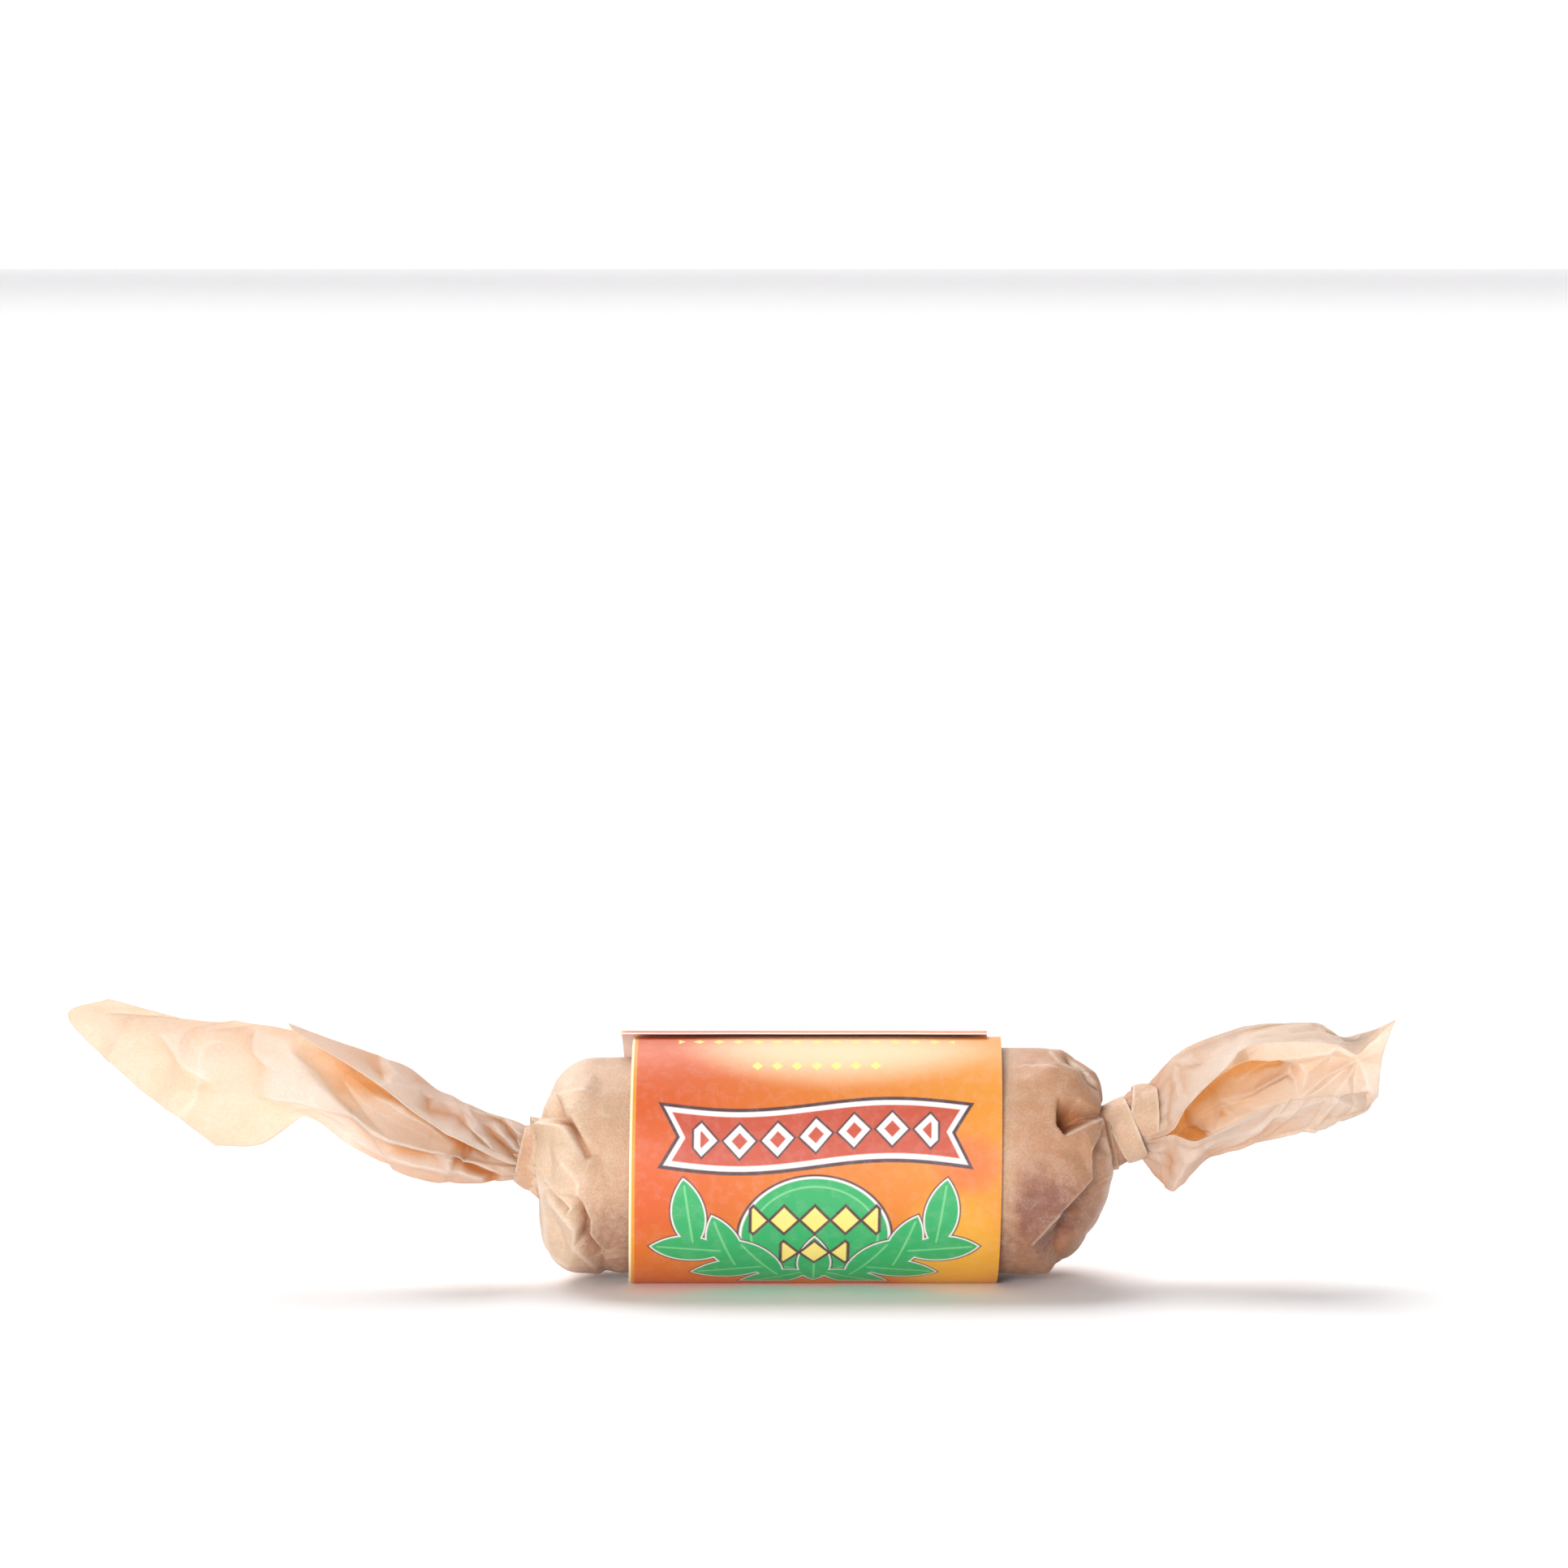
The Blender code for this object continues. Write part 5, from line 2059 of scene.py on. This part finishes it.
SHELL = Facets(
    {
        "first pleat": ((24.3, 13.9, 0.0), (24.2, 12.1, 0.2), (24.0, 10.4, 0.1)),
        "beside it": ((24.7, 13.8, -0.1), (24.6, 12.1, -0.1), (24.3, 10.5, 0.0)),
        "second pleat": ((24.9, 15.0, 0.1), (25.1, 12.8, 0.2), (24.6, 10.9, 0.1)),
        "beside the second": ((25.4, 14.7, -0.1), (25.5, 13.0, -0.1)),
        "crumple": ((26.2, 15.9, 0.0), (25.9, 15.2, 0.3), (26.9, 15.0, -0.1), (28.1, 16.1, 0.2)),
        "edge": ((25.8, 12.6, 0.1), (27.5, 13.9, 0.3), (28.7, 15.2, 0.4), (29.6, 17.0, 0.3)),
        "long crumple": ((27.3, 15.2, 0.1), (28.5, 16.4, 0.3), (29.3, 17.3, 0.1)),
        "fold in the rim": ((34.8, 17.8, 0.0), (35.1, 17.2, 0.4), (36.1, 16.5, 0.5), (37.3, 15.6, 0.3)),
        "above the rim": ((30.5, 17.3, 0.2), (32.7, 17.4, 0.3), (34.2, 17.3, 0.2)),
    },
    tall=1.8,
    margin=0.8,
)
WALL = Facets(
    {
        "under the rim": ((29.5, 16.7, 0.6), (31.0, 16.9, 1.2), (32.7, 17.0, 1.2), (34.8, 17.2, 1.0)),
        "second layer": (
            (28.7, 14.9, 0.8), (29.9, 15.6, 1.9), (31.9, 15.7, 2.1), (35.5, 16.1, 2.0), (35.8, 16.4, 1.6),
        ),
        "under the layer": (
            (28.9, 14.5, -0.3), (30.1, 15.3, -0.5), (31.9, 15.4, -0.4), (32.9, 15.1, 0.2),
            (35.6, 15.8, 0.9),
        ),
        "dark top": ((29.6, 14.4, -0.2), (31.2, 14.8, -0.3), (32.2, 14.9, -0.3)),
        "long ridge": (
            (28.1, 12.5, 0.1), (28.7, 12.8, 0.5), (30.1, 13.1, 0.7), (31.6, 14.0, 1.0), (32.5, 14.6, 1.3),
        ),
        "under the ridge": ((28.7, 12.2, 0.0), (30.4, 12.7, -0.1), (31.8, 13.6, 0.0), (32.6, 14.1, 0.2)),
        "upright ridge": ((32.7, 14.9, 1.2), (33.1, 14.1, 1.1), (33.4, 12.9, 1.0)),
        "pale hollow": ((33.5, 15.0, 0.5), (34.0, 14.4, 0.4), (33.7, 13.5, 0.6)),
        "first ray": ((37.5, 15.6, 1.4), (34.9, 14.2, 1.4), (33.5, 12.9, 1.0)),
        "between the rays": ((36.7, 14.9, 0.7), (35.2, 13.6, 0.6), (34.4, 13.0, 0.5)),
        "second ray": ((37.4, 15.4, 1.4), (36.7, 14.2, 1.2), (35.6, 12.8, 1.2)),
        "third ray": ((37.6, 15.4, 1.4), (38.1, 13.9, 0.8), (38.7, 12.8, 0.5)),
        "between the last": ((37.3, 14.1, 0.4), (37.2, 12.5, 0.5)),
        "dent": ((27.6, 12.0, 0.4), (28.2, 11.5, -0.3), (28.7, 11.9, 0.4)),
        "lower ridge": (
            (26.3, 10.9, 0.2), (26.9, 10.5, 0.7), (27.5, 10.4, 0.7), (29.3, 11.3, 0.5), (31.2, 12.2, 0.5),
        ),
        "dark corner": ((25.0, 10.3, -0.6), (25.8, 10.4, -0.9), (26.7, 10.2, -0.8)),
        "left side": ((25.6, 12.1, -0.3), (27.2, 13.3, -0.4), (28.4, 14.2, -0.3)),
    },
    tall=1.5,
)
LIP = Facets(
    {
        "fold": (
            (26.9, 9.3, 0.1), (27.6, 9.7, 0.4), (29.6, 10.3, 0.4), (32.1, 11.5, 0.5), (34.3, 12.3, 0.4),
            (35.6, 12.7, 0.4),
        ),
        "under the fold": ((27.2, 9.1, -0.1), (29.7, 9.8, -0.1), (32.1, 11.0, -0.1), (34.4, 11.7, 0.0)),
        "roll of the corner": ((26.6, 9.2, 0.2), (25.7, 8.2, 0.5), (24.9, 6.6, 0.4)),
        "left of the roll": ((25.0, 9.4, 0.0), (24.7, 8.2, -0.2), (24.4, 7.1, 0.0)),
        "crumple": ((22.6, 9.1, 0.1), (23.5, 8.9, 0.3), (24.3, 9.4, 0.1)),
        "far fold": ((36.0, 12.6, 0.5), (36.6, 12.4, 0.5), (37.9, 11.6, 0.2)),
        "streak": ((31.6, 11.3, 0.1), (33.0, 11.3, 0.3), (34.1, 11.5, 0.1)),
    },
    margin=0.8,
    painted_fold_shade=0.4,
)
RIGHT_TAIL = Tail(
    name="right_tail",
    lines={
        "rim": (
            (23.6, -2.0, 10.2), (24.6, -3.1, 10.9), (25.3, -3.8, 12.7), (27.2, -4.0, 14.6),
            (28.6, -3.9, 15.7), (29.8, -3.5, 16.7), (35.3, -2.0, 16.8), (37.5, 0.8, 15.6),
        ),
        "ridge": (
            (23.1, 0.0, 13.6), (24.8, 0.0, 15.6), (27.4, 0.0, 17.0), (31.3, 0.5, 18.0), (35.0, 1.0, 17.8),
            (37.2, 1.3, 16.7), (40.2, 1.0, 17.9),
        ),
        "back": ((22.6, 1.7, 10.9), (27.0, 4.5, 12.2), (31.6, 5.5, 13.5), (39.4, 2.0, 15.4)),
        "bottom": (
            (22.4, 0.5, 8.7), (23.6, 0.2, 7.1), (24.8, 0.0, 6.1), (25.2, 0.0, 6.5), (27.0, 0.0, 8.5),
            (31.5, 0.0, 9.7), (37.8, 0.5, 11.6), (39.0, 1.0, 12.7),
        ),
        "lip": (
            (23.1, -1.5, 9.9), (24.5, -2.9, 10.5), (26.1, -3.5, 10.2), (27.2, -3.9, 10.8),
            (28.6, -4.0, 11.5), (30.8, -3.8, 12.6), (32.3, -3.3, 13.0), (35.5, -1.8, 13.1),
            (38.6, 0.7, 13.0),
        ),
    },
    rounded=("back",),
    centre=(21.6, 0.0, 10.6),
    short={},
    strip_ends={},
    seed=53,
    # Painted shade inside the tail, darkest on its back wall at the neck.
    painted_fold_shade={"back": (1.0, 0.35), "ridge": (0.15, 0.05), "bottom": (0.3, 0.0)},
    creases={("rim",): (SHELL,), ("ridge", "back"): (WALL,), ("bottom",): (LIP,)},
    steps=44,
    layers=0.16,
    layer_reach=5.0,
    least_layers=0.24,
)


@dataclass(frozen=True)
class Band:
    """A strip of paper wound round a neck. Lengths are in millimetres.

    Attributes:
        name: The piece's name.
        middle: Place, height and tilt in degrees of the ring that it lies on.
        radius: Radius at its left edge.
        half_width: Half its width.
        turn: The angles up from the front where it starts and ends, in degrees.
        swell: How much farther out its right edge lies than its left.
        drift: How far along the neck it moves in a full turn.
        seed: Picks its wrinkles.
        shade: How much painted shade it takes, as darker layers and fold colour, from 0 to 1.
        steps: How many faces it has along its length.
        columns: How many faces it has across its width.
        thickness: How thick the paper is.
        waver: Share by which its width comes and goes.
        crown: How far its middle stands out.
        wrinkles: Pitch and height of its broad wrinkles and of its fine ones.
        plain_layers: How many layers it looks like where it lies open.
        worn_ramp: Share of its half width where its worn edge starts, and how far that takes to rise.
        worn: How pale the edge is worn, from 0 to 1.
    """

    name: str
    middle: Point
    radius: float
    half_width: float
    turn: tuple[float, float]
    swell: float
    drift: float
    seed: int
    shade: float
    steps: int = 150
    columns: int = 18
    thickness: float = 0.06
    waver: float = 0.18
    crown: float = 0.06
    wrinkles: tuple = ((1.2, 0.12), (0.5, 0.04))
    plain_layers: float = 0.4
    worn_ramp: tuple[float, float] = (0.8, 0.2)
    worn: float = 0.7

    def build(self, body: "Body", material: bpy.types.Material) -> bpy.types.Object:
        """Build the band.

        Args:
            body: The body, for its rings.
            material: Its finish.

        Returns:
            The object.
        """
        angles = np.radians(np.linspace(self.turn[0], self.turn[1], self.steps + 1))
        place, height, tilt = self.middle
        lean = math.radians(tilt)
        wavering = 1.0 + self.waver * np.sin(angles + self.seed)
        rows = []
        for column in range(self.columns + 1):
            across = (2.0 * column / self.columns - 1.0) * self.half_width * wavering
            share = across / self.half_width
            out = 0.5 * self.swell * (1.0 + share) + self.crown * (1.0 - share**2)
            ring = body.ring(place, height, self.radius + out, tilt, angles)
            along = across + self.drift * (angles - angles[0]) / (2 * math.pi)
            ring[:, 0] += along * math.cos(lean)
            ring[:, 2] += along * math.sin(lean)
            rows.append(ring)
        points = np.array(rows).reshape(-1, 3)
        outward = points - np.array([place, 0.0, height])
        outward /= np.linalg.norm(outward, axis=1, keepdims=True)
        wrinkle = 0.0
        for number, (pitch, tall) in enumerate(self.wrinkles):
            wrinkle = wrinkle + SoftNoise(self.seed + number, pitch).at(points) * tall
        points = points + outward * wrinkle[:, None]
        count = self.steps + 1
        faces = grid_faces(self.columns + 1, count)
        edge = np.abs(np.linspace(-1.0, 1.0, self.columns + 1))[:, None] * np.ones(count)
        values = {
            # The shade share paints shade as darker layers and fold colour.
            "layers": np.full(len(points), self.plain_layers + (1.0 - self.plain_layers) * self.shade),
            "painted_fold_shade": np.full(len(points), self.shade),
            "worn": ramp(edge.reshape(-1), *self.worn_ramp) * self.worn,
        }
        return thin_piece(self.name, points, faces, self.thickness, values, material)


BANDS = (
    Band("left_collar", (-19.75, 8.6, -8.0), 1.9, 0.8, (-175.0, 170.0), 0.6, 0.1, 3, 0.3),
    Band("right_wrap", (21.45, 10.4, 25.0), 2.15, 0.8, (-160.0, 175.0), 0.05, 0.0, 7, 0.1),
    Band("right_second_wrap", (22.95, 11.4, -4.0), 1.92, 0.95, (-150.0, 160.0), 0.25, -0.5, 9, 0.15),
    Band("right_first_turn", (20.35, 9.8, 12.0), 2.1, 0.4, (-150.0, 160.0), 0.1, -0.3, 12, 0.35),
)


@dataclass
class Label:
    """The loose paper label round the body, its ends overlapping on top. Lengths are in millimetres.

    Its start and its end are angles in radians from the top towards the front.
    """

    PRINT_MAP = "print"
    MAP_MM = 100.0
    width: float = 25.4
    thickness: float = 0.1
    half_depth: float = 8.3
    half_height: float = 8.63
    sag: float = 0.25
    layer_step: float = 0.4
    sag_ramp: tuple[float, float] = (-0.3, 0.6)
    layer_ramp: tuple[float, float] = (0.1, 2.4)
    skew: Point = (0.15, 0.22, 0.13)
    ripple: SoftNoise = SoftNoise(17, 5.0)
    ripple_height: float = 0.07
    back_ripple: float = 0.25
    most_ripple: float = 0.02
    ripple_ramp: tuple[float, float] = (0.6, 1.5)
    crisp_degrees: float = 50.0
    start: float = -0.9
    end: float = 2 * math.pi + 0.06
    turns: int = 420
    columns: int = 64

    def point(self, turn: float, inward: float) -> tuple[float, float]:
        """Find a point of the label's cross-section.

        Args:
            turn: Angle from the top towards the front.
            inward: Distance in from its outer side.

        Returns:
            Place across and height.
        """
        lower = 1 - ramp(np.array(math.cos(turn)), *self.sag_ramp)
        drift = self.layer_step * (1 - ramp(np.array(turn), *self.layer_ramp))
        half_depth = self.half_depth - drift - inward
        half_height = self.half_height + self.sag * lower - drift - inward
        height = self.half_height + half_height * math.cos(turn)
        return float(-half_depth * math.sin(turn)), float(max(height, inward))

    def shift(self, turn: float) -> float:
        """Find how far the skewed strip has moved along the candy.

        Args:
            turn: Angle from the top towards the front.

        Returns:
            The distance.
        """
        half_turns = turn / math.pi
        at_top, straight, curved = self.skew
        return at_top - straight * half_turns - curved * half_turns * abs(half_turns)

    def build(self, printed: bpy.types.Material, plain: bpy.types.Material) -> bpy.types.Object:
        """Build the label.

        Args:
            printed: Finish of its outer side.
            plain: Finish of its inner side and its edges.

        Returns:
            The object.
        """
        angles = np.linspace(self.start, self.end, self.turns + 1)
        across = np.linspace(-0.5, 0.5, self.columns + 1) * self.width
        sides = []
        for inward in (0.0, self.thickness):
            rows = []
            for turn in map(float, angles):
                depth, height = self.point(turn, inward)
                rows.append([(float(place) + self.shift(turn), depth, height) for place in across])
            sides.append(np.array(rows))
        outer = sides[0]
        ripple = self.ripple.at(outer.reshape(-1, 3)).reshape(outer.shape[:2]) * self.ripple_height
        ripple *= np.clip(np.sin(np.clip(angles, 0.0, math.pi)), 0.0, 1.0)[:, None] + self.back_ripple
        radial = outer - np.array([0.0, 0.0, self.half_height])
        radial[:, :, 0] = 0.0
        radial /= np.linalg.norm(radial, axis=2, keepdims=True)
        lift = np.minimum(ripple, self.most_ripple) * ramp(outer[:, :, 2], *self.ripple_ramp)
        for side in sides:
            side += radial * lift[:, :, None]
        columns = self.columns + 1
        points = np.concatenate([side.reshape(-1, 3) for side in sides])
        count = len(points) // 2
        faces = grid_faces(self.turns + 1, columns)
        printed_faces = len(faces)
        faces += [tuple(index + count for index in reversed(face)) for face in faces]
        rim = []
        for row in range(self.turns):
            rim += [(row * columns, columns, False), (row * columns + self.columns, columns, True)]
        for row, flip in ((0, True), (self.turns, False)):
            rim += [(row * columns + column, 1, flip) for column in range(self.columns)]
        for low, step, flip in rim:
            face = (low, low + step, low + step + count, low + count)
            faces.append(face[::-1] if flip else face)
        piece = make_piece("candy_label", points, faces, [printed, plain], Kind.LABEL, {})
        mesh = piece.data
        run = run_along(outer[:, 0, 1:])
        run -= np.interp(math.pi / 2, angles, run)
        local = np.stack(np.broadcast_arrays(across[None, :], -run[:, None]), axis=2).reshape(-1, 2)
        local = np.concatenate([local, local]) / self.MAP_MM + 0.5
        layer = mesh.uv_layers.new(name=self.PRINT_MAP)
        corners = np.empty(len(mesh.loops), np.int32)
        mesh.loops.foreach_get("vertex_index", corners)
        layer.data.foreach_set("uv", local[corners].reshape(-1))
        slots = np.ones(len(mesh.polygons), np.int32)
        slots[:printed_faces] = 0
        mesh.polygons.foreach_set("material_index", slots)
        self._face_out(mesh)
        return piece

    def _face_out(self, mesh: bpy.types.Mesh) -> None:
        """Turn the faces outwards and keep the cut edges crisp.

        Args:
            mesh: The label's mesh.
        """
        shape = bmesh.new()
        shape.from_mesh(mesh)
        bmesh.ops.recalc_face_normals(shape, faces=shape.faces[:])
        for edge in shape.edges:
            if len(edge.link_faces) == 2 and edge.calc_face_angle() > math.radians(self.crisp_degrees):
                edge.smooth = False
        shape.to_mesh(mesh)
        shape.free()


@dataclass(frozen=True)
class Studio:
    """A pale floor with a white wall far behind it, soft lights and the camera. Lengths are in metres."""

    focal: float = 162.56
    sensor: float = 36.0
    eye: Point = (-0.00214, -0.48568, 0.08123)
    look_down: float = 5.5
    floor_half: float = 3.0
    wall_height: float = 1.2
    ambient: float = 0.35
    overhead: float = 2.85
    overhead_spread: float = 45.0
    overhead_from: Point = (-0.35, 0.62, 1.0)
    key: float = 2.8
    key_size: float = 0.22
    key_from: Point = (-0.16, -0.58, 0.12)
    floor_colour: Colour = srgb(250, 249, 250)
    floor_roughness: float = 0.6

    def camera(self) -> None:
        """Place the camera where the photo was taken from."""
        data = bpy.data.cameras.new("camera")
        data.lens = self.focal
        data.sensor_width = self.sensor
        data.clip_start = 0.01
        data.clip_end = 20.0
        eye = bpy.data.objects.new("camera", data)
        eye.location = self.eye
        eye.rotation_euler = (math.radians(90 - self.look_down), 0.0, 0.0)
        bpy.context.scene.collection.objects.link(eye)
        bpy.context.scene.camera = eye

    def backdrop(self, name: str, corners: list[Point], colour: Colour, glow: float) -> None:
        """Stretch one plain square of the set.

        Args:
            name: Its name.
            corners: Its corners.
            colour: Its colour.
            glow: How brightly it shines.
        """
        mesh = bpy.data.meshes.new(name)
        mesh.from_pydata(corners, [], [(0, 1, 2, 3)])
        material, _, shader = new_material(name)
        shader.inputs["Base Color"].default_value = colour
        shader.inputs["Roughness"].default_value = self.floor_roughness
        shader.inputs["Specular IOR Level"].default_value = 0.0
        shader.inputs["Emission Color"].default_value = WHITE
        shader.inputs["Emission Strength"].default_value = glow
        mesh.materials.append(material)
        plane = bpy.data.objects.new(name, mesh)
        bpy.context.scene.collection.objects.link(plane)

    def lamp(self, name: str, kind: str, place: Point, power: float) -> bpy.types.Light:
        """Hang a light that points at the candy.

        Args:
            name: Its name.
            kind: The kind of light.
            place: Where it hangs.
            power: Its power in watts, or in watts a square metre.

        Returns:
            The light's data.
        """
        data = bpy.data.lights.new(name, kind)
        data.energy = power
        light = bpy.data.objects.new(name, data)
        light.location = place
        light.rotation_euler = (
            math.atan2(math.hypot(place[0], place[1]), place[2]),
            0.0,
            math.atan2(place[1], place[0]) + math.pi / 2,
        )
        bpy.context.scene.collection.objects.link(light)
        return data

    def build(self) -> None:
        """Build the studio."""
        scene = bpy.context.scene
        scene.view_settings.view_transform = "Standard"
        world = bpy.data.worlds.new("studio")
        scene.world = world
        world.use_nodes = True
        back = world.node_tree.nodes["Background"]
        back.inputs[0].default_value = WHITE
        back.inputs[1].default_value = self.ambient
        half, top = self.floor_half, self.wall_height
        floor = [(-half, -half, 0), (half, -half, 0), (half, half, 0), (-half, half, 0)]
        wall = [(-half, half, 0), (half, half, 0), (half, half, top), (-half, half, top)]
        self.backdrop("floor", floor, self.floor_colour, 0.0)
        self.backdrop("wall", wall, self.floor_colour, 1.0)
        overhead = self.lamp("overhead", "SUN", self.overhead_from, self.overhead)
        overhead.angle = math.radians(self.overhead_spread)
        key = self.lamp("key", "AREA", self.key_from, self.key)
        key.size = self.key_size
        self.camera()


def main() -> None:
    """Build the candy and its studio, piece by piece."""
    logging.basicConfig(level=logging.INFO, format="%(name)s %(message)s")
    effects = SharedEffects()
    wrapped = WaxedPaper(
        "waxed paper over caramel",
        pale=srgb(240, 216, 189),
        tan=srgb(205, 156, 121),
        # Colour of the painted shade deep in folds.
        painted_fold_shade=srgb(190, 120, 72),
    ).make(effects)
    leafy = WaxedPaper(
        "waxed paper of the tails",
        pale=srgb(253, 248, 246),
        tan=srgb(246, 212, 174),
        # Colour of the painted shade deep in folds.
        painted_fold_shade=srgb(242, 200, 148),
        worn=srgb(255, 254, 252),
        mottle=srgb(247, 238, 225),
        through=0.66,
        roughness=0.42,
    ).make(effects)
    body = Body()
    body.build(wrapped)
    LEFT_TAIL.build(leafy)
    RIGHT_TAIL.build(leafy)
    for band in BANDS:
        band.build(body, wrapped)
    Label().build(LabelPrint().make(effects), PlainPaper().make(effects))
    Studio().build()


if __name__ == "__main__":
    main()
